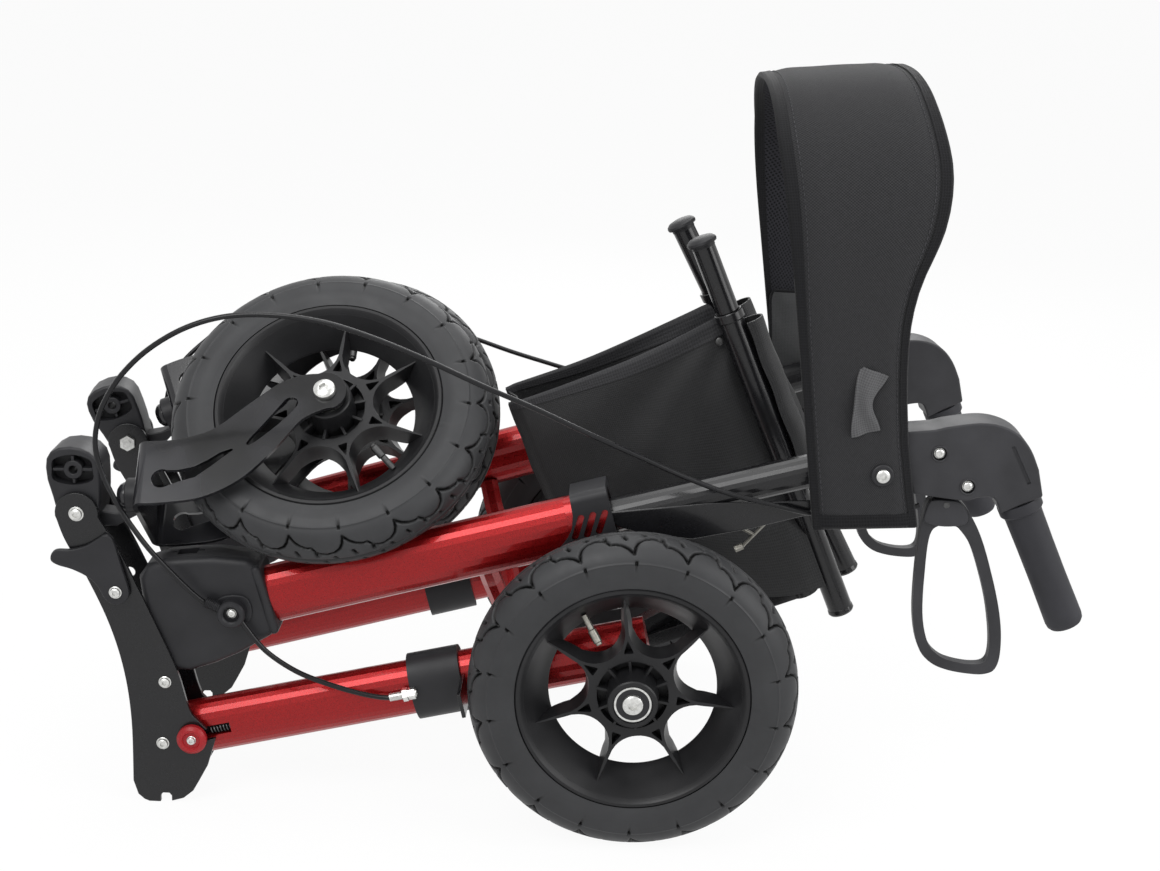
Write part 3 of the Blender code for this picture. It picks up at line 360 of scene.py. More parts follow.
@dataclass(frozen=True)
class Lacquer(Finish):
    """Metallic red lacquer with fine flakes under a clear coat."""

    deep: Point3 = (0.21, 0.002, 0.003)
    bright: Point3 = (0.36, 0.005, 0.006)

    def draw(self, graph: Graph) -> None:
        """Draw the flakes and the coat."""
        place = graph.coordinates()
        flake = graph.node("ShaderNodeTexVoronoi")
        flake.inputs["Scale"].default_value = 2100.0
        graph.wire(place, flake.inputs["Vector"])
        tone = graph.math("MULTIPLY", flake.outputs["Color"], 1.0)
        graph.paint(tone, 0.12, 0.95, self.deep, self.bright)
        graph.roughen(tone, 0.24, 0.42)
        graph.bump(graph.noise(place, 320.0, 2.0), 0.06, 0.00006)
        graph.bump(tone, 0.10, 0.00003)
        graph.set(Metallic=0.72, Coat_Weight=0.32, Coat_Roughness=0.06)


@dataclass(frozen=True)
class Plating(Finish):
    """Bright zinc or steel with faint brushing."""

    colour: Point3 = (0.72, 0.72, 0.70)
    roughness: float = 0.24

    def draw(self, graph: Graph) -> None:
        """Draw stains and brushing."""
        place = graph.coordinates()
        graph.paint(graph.noise(place, 400.0, 4.0, 0.6), 0.35, 0.65, shade(self.colour, 0.72), self.colour)
        fine = graph.noise(graph.stretched(place, (300, 3000, 300)), 1.0, 3.0)
        graph.roughen(fine, self.roughness, self.roughness + 0.16)
        graph.set(Metallic=1.0)


@dataclass(frozen=True)
class TyreRubber(Finish):
    """Dark grey tyre rubber with a dusty bloom, and painted shade in the tread's grooves, where the mesh's groove
    attribute is high.
    """

    colour: Point3 = (0.023, 0.0235, 0.025)
    # The near-black colour of the painted shade in the grooves.
    deep: Point3 = (0.0015, 0.0015, 0.0015)

    def draw(self, graph: Graph) -> None:
        """Draw the bloom and the painted shade in the grooves."""
        place = graph.coordinates()
        bloom = graph.noise(place, 30.0, 6.0, 0.65)
        groove = graph.node("ShaderNodeAttribute", attribute_name="groove").outputs["Fac"]
        clean = graph.math("ADD", graph.math("MULTIPLY", bloom, 0.5), 0.5)
        # Painted shade: the tone falls where the groove mask is high, in the grooves.
        tone = graph.math("SUBTRACT", clean, graph.math("MULTIPLY", groove, 0.75))
        graph.paint(tone, 0.12, 0.85, self.deep, shade(self.colour, 1.35))
        graph.roughen(graph.noise(place, 90.0, 4.0), 0.36, 0.60)
        graph.bump(graph.noise(place, 1400.0, 4.0, 0.7), 0.3, 0.00009)
        graph.set(Specular_IOR_Level=0.30)


@dataclass(frozen=True)
class Weave(Finish):
    """Woven cloth whose threads follow the piece's UV map, in metres."""

    colour: Point3 = (0.020, 0.020, 0.023)
    threads: float = 900.0
    height: float = 0.00022
    roughness: float = 0.86
    contrast: float = 0.75
    turn: float = 0.0
    gloss: float = 0.12

    def draw(self, graph: Graph) -> None:
        """Draw warp and weft, which take turns on top, and soft slubs."""
        place = graph.stretched(graph.coordinates(True), (1, 1, 1), self.turn)
        warp, weft = (graph.wave(place, self.threads / 20.0 * math.pi, way) for way in "XY")
        checks = graph.node("ShaderNodeTexChecker")
        checks.inputs["Scale"].default_value = self.threads
        graph.wire(place, checks.inputs["Vector"])
        over = graph.math("MULTIPLY", warp, checks.outputs["Fac"])
        under = graph.math("MULTIPLY", weft, graph.math("SUBTRACT", 1.0, checks.outputs["Fac"]))
        cloth = graph.math("ADD", over, under)
        slub = graph.noise(place, 320.0, 3.0, 0.7)
        tone = graph.math("ADD", graph.math("MULTIPLY", cloth, 0.7), graph.math("MULTIPLY", slub, 0.4))
        graph.paint(tone, 0.15, 0.95, shade(self.colour, 1.0 - self.contrast), shade(self.colour, 1.0 + self.contrast))
        graph.bump(graph.noise(place, 45.0, 3.0), 0.25, 0.0006)
        graph.bump(tone, 0.8, self.height)
        graph.set(Roughness=self.roughness, Sheen_Weight=0.06, Sheen_Roughness=0.5, Specular_IOR_Level=self.gloss)


@dataclass(frozen=True)
class SpacerMesh(Finish):
    """Open knitted spacer mesh, with a round eyelet pattern on the piece's UV map."""

    colour: Point3 = (0.011, 0.011, 0.013)
    eyelets: float = 330.0

    def draw(self, graph: Graph) -> None:
        """Draw the eyelets."""
        cell = graph.node("ShaderNodeTexVoronoi", feature="F1")
        cell.inputs["Scale"].default_value = self.eyelets
        cell.inputs["Randomness"].default_value = 0.15
        graph.wire(graph.stretched(graph.coordinates(True), (1, 1, 1), 30.0), cell.inputs["Vector"])
        graph.paint(cell.outputs["Distance"], 0.18, 0.42, shade(self.colour, 0.2), shade(self.colour, 2.0))
        graph.bump(cell.outputs["Distance"], 0.9, 0.0006)
        graph.set(Roughness=0.9, Specular_IOR_Level=0.2)


BLACK_PLASTIC = Moulding("moulded_black_plastic", "black_plastic")
HANDLE_PLASTIC = Moulding("handle_plastic", "black_plastic", (0.027, 0.027, 0.030), 0.50, 1800.0)
RIM_PLASTIC = Moulding("rim_plastic", "black_plastic", (0.011, 0.011, 0.012), 0.38, 1300.0)
GRIP_RUBBER = Moulding("grip_rubber", "grip_rubber", (0.022, 0.022, 0.026), 0.60, 2200.0, 0.00012)
SHEATH = Moulding("cable_sheath", "cable_sheath", (0.006, 0.006, 0.007), 0.28, 700.0, 0.00003)
KNOB_RED = Moulding("knob_red", "red_plastic", (0.30, 0.010, 0.014), 0.36, 900.0, 0.00004, 0.12)
ENAMEL = Enamel("black_enamel", "black_enamel")
# The fork's enamel is streaked in large patches up to seven times lighter: painted sheen.
FORK_ENAMEL = Enamel("fork_enamel", "black_enamel", (0.004, 0.004, 0.0046), 0.16, 7.0, 16.0, 0.30)
LACQUER = Lacquer("red_lacquer", "red_paint")
ZINC = Plating("zinc", "zinc")
SPRING_STEEL = Plating("spring_steel", "zinc", (0.10, 0.10, 0.10), 0.35)
DULL_ZINC = Plating("dull_zinc", "zinc", (0.30, 0.29, 0.26), 0.34)
TYRE = TyreRubber("tyre_rubber", "tyre_rubber")
CLOTH = Weave("bag_cloth", "black_fabric", (0.011, 0.0112, 0.012), 1100.0, 0.00018, 0.52, 0.6, 0.0, 0.34)
HEM_CLOTH = Weave("hem_cloth", "black_fabric", (0.021, 0.021, 0.023), 900.0, 0.0002, 0.60, 0.45, 0.0, 0.30)
SATIN = Weave("satin_lining", "black_fabric", (0.040, 0.041, 0.042), 1500.0, 0.0001, 0.50, 0.3, 0.0, 0.30)
STRAP_CLOTH = Weave("strap_cloth", "black_fabric", (0.025, 0.025, 0.0265), 1300.0, 0.00018, 0.86, 0.55, 45.0)
BINDING = Weave("binding_tape", "black_fabric", (0.008, 0.008, 0.009), 900.0, 0.0002, 0.75, 0.5)
WEBBING = Weave("grey_webbing", "black_fabric", (0.085, 0.085, 0.088), 1000.0, 0.0003, 0.7, 0.3)
MESH_CLOTH = SpacerMesh("spacer_mesh", "black_fabric")
THREAD = Moulding("sewing_thread", "black_fabric", (0.030, 0.030, 0.033), 0.6, 1500.0)


# Shapes


class Form:
    """A bmesh under construction, in millimetres of some sub-assembly's frame."""

    def __init__(self, mesh: bpy.types.Mesh | None = None) -> None:
        """Start empty or with a copy of a finished mesh."""
        self.bm = bmesh.new()
        if mesh is not None:
            self.bm.from_mesh(mesh)

    def box(self, low: Point3, high: Point3) -> "Form":
        """Add a box between two corners."""
        size = [b - a for a, b in zip(low, high)]
        middle = [(a + b) / 2 for a, b in zip(low, high)]
        made = bmesh.ops.create_cube(self.bm, size=1.0)["verts"]
        bmesh.ops.scale(self.bm, vec=size, verts=made)
        bmesh.ops.translate(self.bm, vec=middle, verts=made)
        return self

    def rod(self, start: Point3, end: Point3, radius: float, sides: int) -> "Form":
        """Add a capped cylinder between two points."""
        first, last = Vector(start), Vector(end)
        along = last - first
        made = bmesh.ops.create_cone(self.bm, cap_ends=True, segments=sides, radius1=radius, radius2=radius,
                                     depth=along.length)["verts"]
        turn = Vector((0, 0, 1)).rotation_difference(along).to_matrix().to_4x4()
        bmesh.ops.transform(self.bm, matrix=Matrix.Translation((first + last) / 2) @ turn, verts=made)
        return self

    def add_mesh(self, mesh: bpy.types.Mesh) -> "Form":
        """Add a copy of a finished mesh."""
        self.bm.from_mesh(mesh)
        return self

    def loop(self, points: Iterable[Sequence[float]]) -> tuple[list[bmesh.types.BMVert], list[bmesh.types.BMEdge]]:
        """Add a closed ring of points and its edges."""
        verts = [self.bm.verts.new(point) for point in points]
        return verts, [self.bm.edges.new((verts[i - 1], verts[i])) for i in range(len(verts))]

    def lathe(self, profile: Sequence[Point2], steps: int) -> "Form":
        """Add a closed profile of radius and width, turned about the Y axis in a number of steps."""
        verts, edges = self.loop((radius, width, 0.0) for radius, width in profile)
        bmesh.ops.spin(self.bm, geom=verts + edges, axis=(0, 1, 0), cent=(0, 0, 0),
                       angle=math.tau, steps=steps, use_merge=True)
        bmesh.ops.remove_doubles(self.bm, verts=self.bm.verts, dist=0.0005)
        return self

    def turned(self, profile: Sequence[Point2], start: Sequence[float], toward: Sequence[float],
               steps: int = 40) -> "Form":
        """Add a closed profile of radius and distance, turned about a line from one point towards another."""
        made = Form().lathe(profile, steps).outward()
        line = Vector(toward) - Vector(start)
        turn = Vector((0, 1, 0)).rotation_difference(line).to_matrix().to_4x4()
        made.move(Matrix.Translation(start) @ turn)
        return self.add_mesh(made.mesh("turned"))

    def loft(self, rings: Sequence[Sequence[Point3]]) -> "Form":
        """Add a closed skin through rings with the same number of points, one bridge at a time."""
        loops = [self.loop(ring)[1] for ring in rings]
        for first, second in zip(loops, loops[1:]):
            bmesh.ops.bridge_loops(self.bm, edges=first + second)
        for end in (loops[0], loops[-1]):
            bmesh.ops.contextual_create(self.bm, geom=end)
        return self

    def move(self, matrix: Matrix) -> "Form":
        """Move the whole form."""
        bmesh.ops.transform(self.bm, matrix=matrix, verts=self.bm.verts)
        return self

    def aim(self, place: Point2, slope: float) -> "Form":
        """Raise a form that lies along +X by a slope and move it to a place."""
        raised = Matrix.Rotation(-math.radians(slope), 4, "Y")
        return self.move(Matrix.Translation((place[0], 0.0, place[1])) @ raised)

    def shift(self, u: float, inward: float, z: float) -> "Form":
        """Move the whole form by a distance along each axis."""
        return self.move(Matrix.Translation((u, inward, z)))

    def clean(self, merge: float, angle: float) -> "Form":
        """Merge points nearer than a distance, and dissolve edges that bend less than an angle in degrees."""
        bmesh.ops.remove_doubles(self.bm, verts=self.bm.verts, dist=merge)
        bmesh.ops.dissolve_limit(self.bm, angle_limit=math.radians(angle), verts=self.bm.verts, edges=self.bm.edges)
        return self

    def outward(self) -> "Form":
        """Turn every face outward."""
        bmesh.ops.recalc_face_normals(self.bm, faces=self.bm.faces)
        return self

    def soften(self, width: float, segments: int = 2, angle: float = 30.0,
               within: Callable[[bmesh.types.BMEdge], bool] | None = None) -> "Form":
        """Bevel every edge that is sharper than an angle.

        Args:
            width: The bevel's width in millimetres.
            segments: Its steps.
            angle: The least angle between two faces, in degrees.
            within: A test that an edge must also pass.

        Returns:
            This form.
        """
        self.outward()
        limit = math.radians(angle)
        edges = [e for e in self.bm.edges if len(e.link_faces) == 2 and e.calc_face_angle(0.0) > limit
                 and (within is None or within(e))]
        bmesh.ops.bevel(self.bm, geom=edges, offset=width, offset_type="OFFSET", segments=segments,
                        profile=0.5, affect="EDGES", clamp_overlap=True, material=-1)
        return self

    def mesh(self, name: str) -> bpy.types.Mesh:
        """The form as a mesh; the bmesh is freed."""
        made = bpy.data.meshes.new(name)
        self.bm.to_mesh(made)
        self.bm.free()
        return made

    def shell(self, name: str) -> bpy.types.Mesh:
        """The form as a mesh with every face turned outward."""
        return self.outward().mesh(name)


def stamped(outline: Sequence[Point2], low: float, high: float, holes: Iterable[Sequence[Point2]] = (),
            edge: float = 1.2, steps: int = 3) -> bpy.types.Mesh:
    """A flat shape drawn in u and z, made solid along the inward axis, with rounded edges.

    Args:
        outline: The outer ring of points.
        low: The depth that it starts at.
        high: The depth that it ends at.
        holes: Rings of points that are left open.
        edge: The radius of its edges.
        steps: The steps in a rounded edge.

    Returns:
        A mesh in millimetres.
    """
    curve = bpy.data.curves.new("outline", "CURVE")
    curve.dimensions = "2D"
    curve.fill_mode = "BOTH"
    curve.extrude = (high - low) / 2
    for ring in (outline, *holes):
        spline = curve.splines.new("POLY")
        spline.points.add(len(ring) - 1)
        for target, (u, z) in zip(spline.points, ring):
            target.co = (u, z, 0.0, 1.0)
        spline.use_cyclic_u = True
    form = Form(evaluated(bpy.data.objects.new("outline", curve))).clean(0.01, 1.0)
    stand = Matrix.Translation((0.0, (low + high) / 2, 0.0)) @ Matrix.Rotation(math.pi / 2, 4, "X")
    form.move(stand).outward()
    if edge > 0.0:
        form.soften(edge, steps, 50.0)
    return form.shell("plate")


def evaluated(holder: bpy.types.Object) -> bpy.types.Mesh:
    """The finished mesh of an object, which is removed."""
    bpy.context.scene.collection.objects.link(holder)
    graph = bpy.context.evaluated_depsgraph_get()
    mesh = bpy.data.meshes.new_from_object(holder.evaluated_get(graph))
    bpy.data.objects.remove(holder, do_unlink=True)
    return mesh


def surface(across: int, along: int, place: Callable[[float, float], Vector], size: Point2,
            closed: bool = False) -> bpy.types.Mesh:
    """A sheet laid out from a flat grid, with a UV map in metres of cloth.

    Args:
        across: The steps over its width.
        along: The steps over its length.
        place: Gives the point at a share of the width and of the length.
        size: The width and length of the cloth in millimetres.
        closed: Whether its two long edges meet.

    Returns:
        A mesh in millimetres.
    """
    form = Form()
    layer = form.bm.loops.layers.uv.new("threads")
    bmesh.ops.create_grid(form.bm, x_segments=across, y_segments=along, size=1.0, calc_uvs=True)
    for face in form.bm.faces:
        for loop in face.loops:
            loop[layer].uv = (loop[layer].uv.x * size[0] * MM, loop[layer].uv.y * size[1] * MM)
    reach = max(v.co.x for v in form.bm.verts)
    for vert in form.bm.verts:
        vert.co = place((vert.co.x / reach + 1.0) / 2.0, (vert.co.y / reach + 1.0) / 2.0)
    if closed:
        bmesh.ops.remove_doubles(form.bm, verts=form.bm.verts, dist=0.01)
    return form.mesh("sheet")


def between(points: Sequence[Vector], share: float) -> Vector:
    """The point at a share of the way along a list of points."""
    place = min(max(share, 0.0), 1.0) * (len(points) - 1)
    index = min(int(place), len(points) - 2)
    return points[index].lerp(points[index + 1], place - index)


def length_of(points: Sequence[Vector]) -> float:
    """The length of a line through points."""
    return sum((b - a).length for a, b in zip(points, points[1:]))


def ease(value: float, low: float, high: float) -> float:
    """A smooth step from 0 to 1 between two values."""
    share = min(max((value - low) / (high - low), 0.0), 1.0)
    return share * share * (3.0 - 2.0 * share)


def circle(centre: Point2, radius: float, sides: int) -> list[Point2]:
    """Points all round a circle."""
    return arc(centre, radius, 0.0, 360.0 - 360.0 / sides, sides - 1)


def arc(centre: Point2, radius: float, first: float, last: float, steps: int) -> list[Point2]:
    """Points on an arc, from the first to the last angle in degrees."""
    angles = [math.radians(first + (last - first) * i / steps) for i in range(steps + 1)]
    return [(centre[0] + radius * math.cos(a), centre[1] + radius * math.sin(a)) for a in angles]


def rounded(points: Sequence[Sequence[float]], per_span: int = 8, closed: bool = False) -> list[Vector]:
    """A smooth line through points.

    Args:
        points: The points that it passes.
        per_span: How many steps lie between two points.
        closed: Whether the line is a ring.

    Returns:
        The points of the smooth line.
    """
    given = [Vector(p) for p in points]
    count = len(given)
    line = []
    for i in range(count if closed else count - 1):
        if closed:
            a, b, c, d = (given[(i + k) % count] for k in (-1, 0, 1, 2))
        else:
            a, b, c, d = (given[min(max(i + k, 0), count - 1)] for k in (-1, 0, 1, 2))
        for step in range(per_span):
            t = step / per_span
            line.append(0.5 * ((2 * b) + (c - a) * t + (2 * a - 5 * b + 4 * c - d) * t ** 2
                               + (3 * b - a - 3 * c + d) * t ** 3))
    if not closed:
        line.append(given[-1])
    return line


def smooth_outline(points: Sequence[Point2], per_span: int = 6, closed: bool = True) -> list[Point2]:
    """A smooth outline through points, a ring or an open stretch of one."""
    return [tuple(p) for p in rounded(points, per_span, closed)]


@dataclass(frozen=True)
class Bend:
    """A piece's change from its first body to another, between two points of the world in metres, kept as a record
    that no step carries out.
    """

    other: str
    start: Point3
    end: Point3


@dataclass
class Workshop:
    """Turns forms into pieces that ride on CAD bodies."""

    frame: dict
    materials: dict[str, bpy.types.Material] = field(default_factory=dict)

    def material(self, finish: Finish) -> bpy.types.Material:
        """The one material of a finish."""
        if finish.name not in self.materials:
            self.materials[finish.name] = finish.build()
        return self.materials[finish.name]

    def dress(self, nodes: Iterable[str], finish: Finish) -> None:
        """Give CAD nodes a finish."""
        for node in nodes:
            owner = self.frame["nodes"][node]
            for slot in owner.material_slots:
                slot.link = "OBJECT"
                slot.material = self.material(finish)

    def add(self, name: str, mesh: bpy.types.Mesh, matrix: Matrix, body: str, finish: Finish,
            stands_for: Sequence[str] = (), angle: float = 32.0, even: bool = True,
            bend: Bend | None = None) -> bpy.types.Object:
        """Make a piece of a mesh.

        Args:
            name: The piece's name.
            mesh: Its mesh in a sub-assembly's frame; a copy is used.
            matrix: The matrix from that frame to the world.
            body: The CAD body that it rides on, when no bend is given.
            finish: Its finish.
            stands_for: CAD nodes that it replaces.
            angle: Edges sharper than this stay sharp in the shading, in degrees.
            even: Whether large faces lead the shading of the small ones beside them.
            bend: Given for a piece that doesn't ride on one body; such a piece is left unattached, its place baked
                into its mesh, and the bend's body and points are not used.

        Returns:
            The new object.
        """
        own = mesh.copy()
        own.transform(matrix)
        if matrix.determinant() < 0.0:
            own.flip_normals()
        own.shade_smooth()
        own.set_sharp_from_angle(angle=math.radians(angle))
        if even:
            holder = bpy.data.objects.new("even", own)
            step = holder.modifiers.new("even", "WEIGHTED_NORMAL")
            step.keep_sharp = True
            own = evaluated(holder)
        own.name = name
        own.materials.clear()
        own.materials.append(self.material(finish))
        piece = bpy.data.objects.new(name, own)
        bpy.context.scene.collection.objects.link(piece)
        if bend is None:
            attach(piece, body)
        else:
            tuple(bend.start)
            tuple(bend.end)
            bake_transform(piece)
        if stands_for:
            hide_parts(*stands_for)
        LOG.info("%s rides on %s", name, body)
        return piece

    def soft(self, name: str, mesh: bpy.types.Mesh, body: str, finish: Finish, stands_for: Sequence[str] = (),
             bend: Bend | None = None) -> bpy.types.Object:
        """Make a smoothly shaded piece of cloth or thread in the middle pieces' frame."""
        return self.add(name, mesh, LAYOUT.middle_matrix(), body, finish, stands_for, 60.0, False, bend)

    def refine(self, node: str, body: str, finish: Finish, edge: Edge) -> bpy.types.Object:
        """Stand a softened copy of a CAD node in for it.

        Args:
            node: The CAD node.
            body: The body that it belongs to.
            finish: The finish of the copy.
            edge: How much its edges are softened.

        Returns:
            The new object.
        """
        form = Form(self.frame["nodes"][node].data).move(Matrix.Scale(1.0 / MM, 4)).clean(0.002, 2.0)
        form.soften(edge.value, 2, 40.0)
        return self.add(node + "_shell", form.mesh(node), Matrix.Scale(MM, 4), body, finish, [node])


def boolean(base: bpy.types.Mesh, cutters: Sequence[bpy.types.Mesh]) -> bpy.types.Mesh:
    """Cut meshes from a mesh, one by one.

    Args:
        base: The mesh to start from.
        cutters: The meshes that are cut from it.

    Returns:
        A new mesh.
    """
    body = bpy.data.objects.new("body", base)
    tools = [bpy.data.objects.new("tool", cutter) for cutter in cutters]
    for tool in tools:
        bpy.context.scene.collection.objects.link(tool)
        step = body.modifiers.new("cut", "BOOLEAN")
        step.operation = "DIFFERENCE"
        step.solver = "EXACT"
        step.object = tool
    result = evaluated(body)
    for tool in tools:
        bpy.data.objects.remove(tool, do_unlink=True)
    return result


def pipe(points: Sequence[Sequence[float]], radius: float, sides: int) -> bpy.types.Mesh:
    """A round wire or tube along points, as a mesh with filled ends.

    Args:
        points: Its centreline in millimetres.
        radius: Its radius.
        sides: The curve's bevel resolution.

    Returns:
        A mesh in millimetres.
    """
    curve = bpy.data.curves.new("pipe", "CURVE")
    curve.dimensions = "3D"
    curve.bevel_depth = radius
    curve.bevel_resolution = sides
    curve.use_fill_caps = True
    spline = curve.splines.new("POLY")
    spline.points.add(len(points) - 1)
    for target, place in zip(spline.points, points):
        target.co = (*place, 1.0)
    form = Form(evaluated(bpy.data.objects.new("pipe", curve)))
    bmesh.ops.remove_doubles(form.bm, verts=form.bm.verts, dist=0.001)
    return form.shell("pipe")


def joined(meshes: Sequence[bpy.types.Mesh]) -> bpy.types.Mesh:
    """Several meshes as one, side by side."""
    form = Form()
    for mesh in meshes:
        form.add_mesh(mesh)
    return form.mesh("joined")


# Wheels


@dataclass
class Wheel:
    """An air-filled tyre on a seven-spoke moulded rim, round the Y axis."""

    radius: float = 130.0
    section: float = 25.0
    rim_radius: float = 91.5
    scallops: int = 18
    spokes: int = 7
    spoke_phase: float = 97.5
    turns: int = 756
    groove_depth: float = 2.3
    groove_width: float = 0.95
    bead: float = 17.4
    skin_lean: float = 112.0
    race: tuple[float, ...] = (12.9, 14.4, -29, -28)
    shield: tuple[float, ...] = (6, 12.7, -28.9, -28.2)

    def groove_lines(self) -> list[tuple[Point2, Point2]]:
        """The grooves of one tread cell, as short lines in millimetres round the tyre and across it."""
        cell = self.cell
        arch = [(0, 23.5), (0.6, 18), (3, 13), (7.5, 9.6), (13, 8.2), (18, 8.6), (22, 10.4)]
        step = [(21, 5.6), (22, 10.4), (25.5, 14.6), (28.5, 14), (34, 15.6), (39, 18.6), (cell, 23.5)]
        slit = [(35, 4.6), (37.5, 9.6)]
        notch = [(5.5, 1.8), (8, 5)]
        wall = [(cell * 0.04, 30.0), (cell * 0.04, 32.5)]
        lines = [(a, b) for path in (arch, step, slit, notch, wall) for a, b in zip(path, path[1:])]
        return lines + [((a[0] + shift, a[1]), (b[0] + shift, b[1])) for a, b in lines for shift in (-cell, cell)]

    @property
    def cell(self) -> float:
        """The length of one tread cell round the tyre."""
        return math.tau * (self.radius - 4.0) / self.scallops

    def carve(self, mesh: bpy.types.Mesh) -> None:
        """Press the tread and the sidewall's ribs into the skin of a tyre's mesh."""
        count = len(mesh.vertices)
        place = np.empty(count * 3)
        mesh.vertices.foreach_get("co", place)
        place = place.reshape(count, 3)
        ring = self.radius - self.section
        radius = np.hypot(place[:, 0], place[:, 2])
        reach = radius - ring
        lean = np.arctan2(place[:, 1], reach)
        skin = (np.hypot(reach, place[:, 1]) > self.section - 0.5) & (np.abs(lean) < math.radians(self.skin_lean))
        across = np.abs(lean) * self.section
        turn = np.arctan2(place[:, 2], place[:, 0]) - math.radians(2.0)
        turn = np.where(lean > 0.0, -turn, turn + math.pi / self.scallops)
        along = np.mod(-turn * (self.radius - 4.0), self.cell)
        depth = np.zeros(count)
        for (x0, y0), (x1, y1) in self.groove_lines():
            share = np.clip(((along - x0) * (x1 - x0) + (across - y0) * (y1 - y0))
                            / ((x1 - x0) ** 2 + (y1 - y0) ** 2), 0.0, 1.0)
            gap = np.hypot(along - x0 - share * (x1 - x0), across - y0 - share * (y1 - y0))
            depth = np.maximum(depth, self.groove_depth * np.exp(-(gap / self.groove_width) ** 4))
        depth = np.maximum(depth, 0.9 * np.exp(-((across - 1.0) / 0.9) ** 4))
        # The groove mask, stored on the mesh for the painted shade in the grooves.
        groove = np.where(skin, np.clip(depth / self.groove_depth * 1.4, 0.0, 1.0), 0.0)
        mesh.attributes.new("groove", "FLOAT", "POINT").data.foreach_set("value", groove.astype(np.float32))
        depth -= 0.55 * np.exp(-((across - 31.5) / 0.55) ** 2) + 0.35 * np.exp(-((across - 44.0) / 0.6) ** 2)
        depth = np.where(skin, depth + 0.55, 0.0)
        out = np.stack([place[:, 0] / radius * reach, place[:, 1], place[:, 2] / radius * reach], axis=1)
        out /= np.maximum(np.linalg.norm(out, axis=1, keepdims=True), 1e-6)
        place -= out * depth[:, None]
        mesh.vertices.foreach_set("co", place.ravel())

    def tyre(self) -> bpy.types.Mesh:
        """The tyre: a spun section whose skin is cut by the tread."""
        ring = self.radius - self.section
        leans = [-122.0, -112.0, -100.0, -88.0, *[-76.0 + 2.0 * i for i in range(77)], 88.0, 100.0, 112.0, 122.0]
        profile = [(ring + self.section * math.cos(math.radians(a)), self.section * math.sin(math.radians(a)))
                   for a in leans]
        lip, seat = self.rim_radius + 0.4, self.rim_radius - 6.0
        profile += [(lip, self.bead), (seat, self.bead), (seat, -self.bead), (lip, -self.bead)]
        mesh = Form().lathe(profile, self.turns).shell("tyre")
        self.carve(mesh)
        return mesh

    def window(self, index: int, outer: float, inner: float, half_spoke: float, width: float) -> list[Point3]:
        """One ring of the gap between two spokes.

        Args:
            index: Which gap.
            outer: The radius where it ends, past the spokes' tips.
            inner: The radius of its round inner end.
            half_spoke: Half the width of the spokes beside it at their roots.
            width: The place across the rim.

        Returns:
            Points on the ring.
        """
        pitch = math.tau / self.spokes
        middle = math.radians(self.spoke_phase) + pitch * (index + 0.5)
        half = pitch / 2
        side = []
        for radius in (outer, 81.0, 72.0, 63.0, 56.0, 50.5):
            thin = half_spoke * (1.0 - 0.75 * ease(radius, 55.0, 81.0))
            side.append((radius, half - thin / radius))
        for share, hug in ((45.8, 0.93), (42, 0.82), (39, 0.66), (37, 0.46), (35.8, 0.24)):
            radius = inner + (share - 35.5)
            side.append((radius, (half - half_spoke / radius) * hug))
        top = [(outer, half * share) for share in (-0.6, -0.2, 0.2, 0.6)]
        ring = top + side + [(inner, 0.0)] + [(radius, -angle) for radius, angle in reversed(side)]
        return [(radius * math.cos(middle + angle), width, radius * math.sin(middle + angle))
                for radius, angle in ring]

    def rim(self) -> bpy.types.Mesh:
        """The rim: a deep funnel with seven forked spokes across it, a hub and its ribs."""
        funnel = Form().lathe([
            (88.2, -21.8), (86.6, -20.6), (84, -17), (80.6, -12.2), (77.2, -7.4), (73.8, -2.6), (70.4, 1.8),
            (67.4, 5.2), (66.2, 6.8), (66.6, 8.2), (70, 9.8), (84, 18.5), (86.5, 21.6), (90.4, 21.8),
            (91.3, 20.6), (91, 18.4), (84.6, 18), (84.6, -18), (91, -18.4), (91.3, -20.6),
            (90.4, -21.8)], 168)
        star = Form().lathe([(19, -10), (29, -11.6), (31.6, -11.6), (33, -11), (60, -10.6),
                             (81, -10), (81, 6), (19, 6)], 140)
        cutters = []
        levels = ((-14, 96, 34.2, 0.9), (-9, 96, 34.8, 1.7), (-4, 96, 35.6, 2.7),
                  (1, 96, 36.6, 3.6), (8, 96, 37.2, 4.4))
        for index in range(self.spokes):
            cutter = Form().loft([self.window(index, outer, inner, half, width)
                                  for width, outer, inner, half in levels])
            cutters.append(cutter.shell("window"))
            turn = math.radians(self.spoke_phase) + math.tau / self.spokes * index
            pocket = stamped([(34.6, -3.4), (34.6, 3.4), (36, 3.6), (45, 0.3), (45, -0.3), (36, -3.6)],
                             -24.0, -1.0, edge=0.0)
            cutters.append(Form(pocket).move(Matrix.Rotation(-turn, 4, "Y")).mesh("pocket"))
        recess = [(17, -26), (28.4, -26), (27.6, -1), (17, -1)]
        cutters.append(Form().lathe(recess, 84).shell("recess"))
        cut = Form(boolean(star.shell("star"), cutters)).clean(0.02, 1.5)
        hub = Form().lathe([(5.6, -29.5), (8, -29.5), (8, -28.6), (15.2, -28.6), (15.6, -30),
                            (18.4, -30), (19.4, -29), (19.8, -24), (20.4, -10), (20.4, 14),
                            (19.6, 29), (18.5, 30), (5.6, 30)], 84)
        for index in range(10):
            rib = Form().box((18.5, -12.5, -1), (28.8, 0, 1))
            rib.move(Matrix.Rotation(math.tau / 10 * (index + 0.3), 4, "Y"))
            hub.add_mesh(rib.mesh("rib"))
        return joined([funnel.shell("funnel"), cut.shell("star"), hub.shell("hub")])

    def ring(self, inner: float, outer: float, front: float, back: float) -> bpy.types.Mesh:
        """A flat ring in the mouth of the hub, between two radii and two places across the wheel."""
        return Form().lathe([(inner, front), (outer, front), (outer, back), (inner, back)], 64).shell("ring")

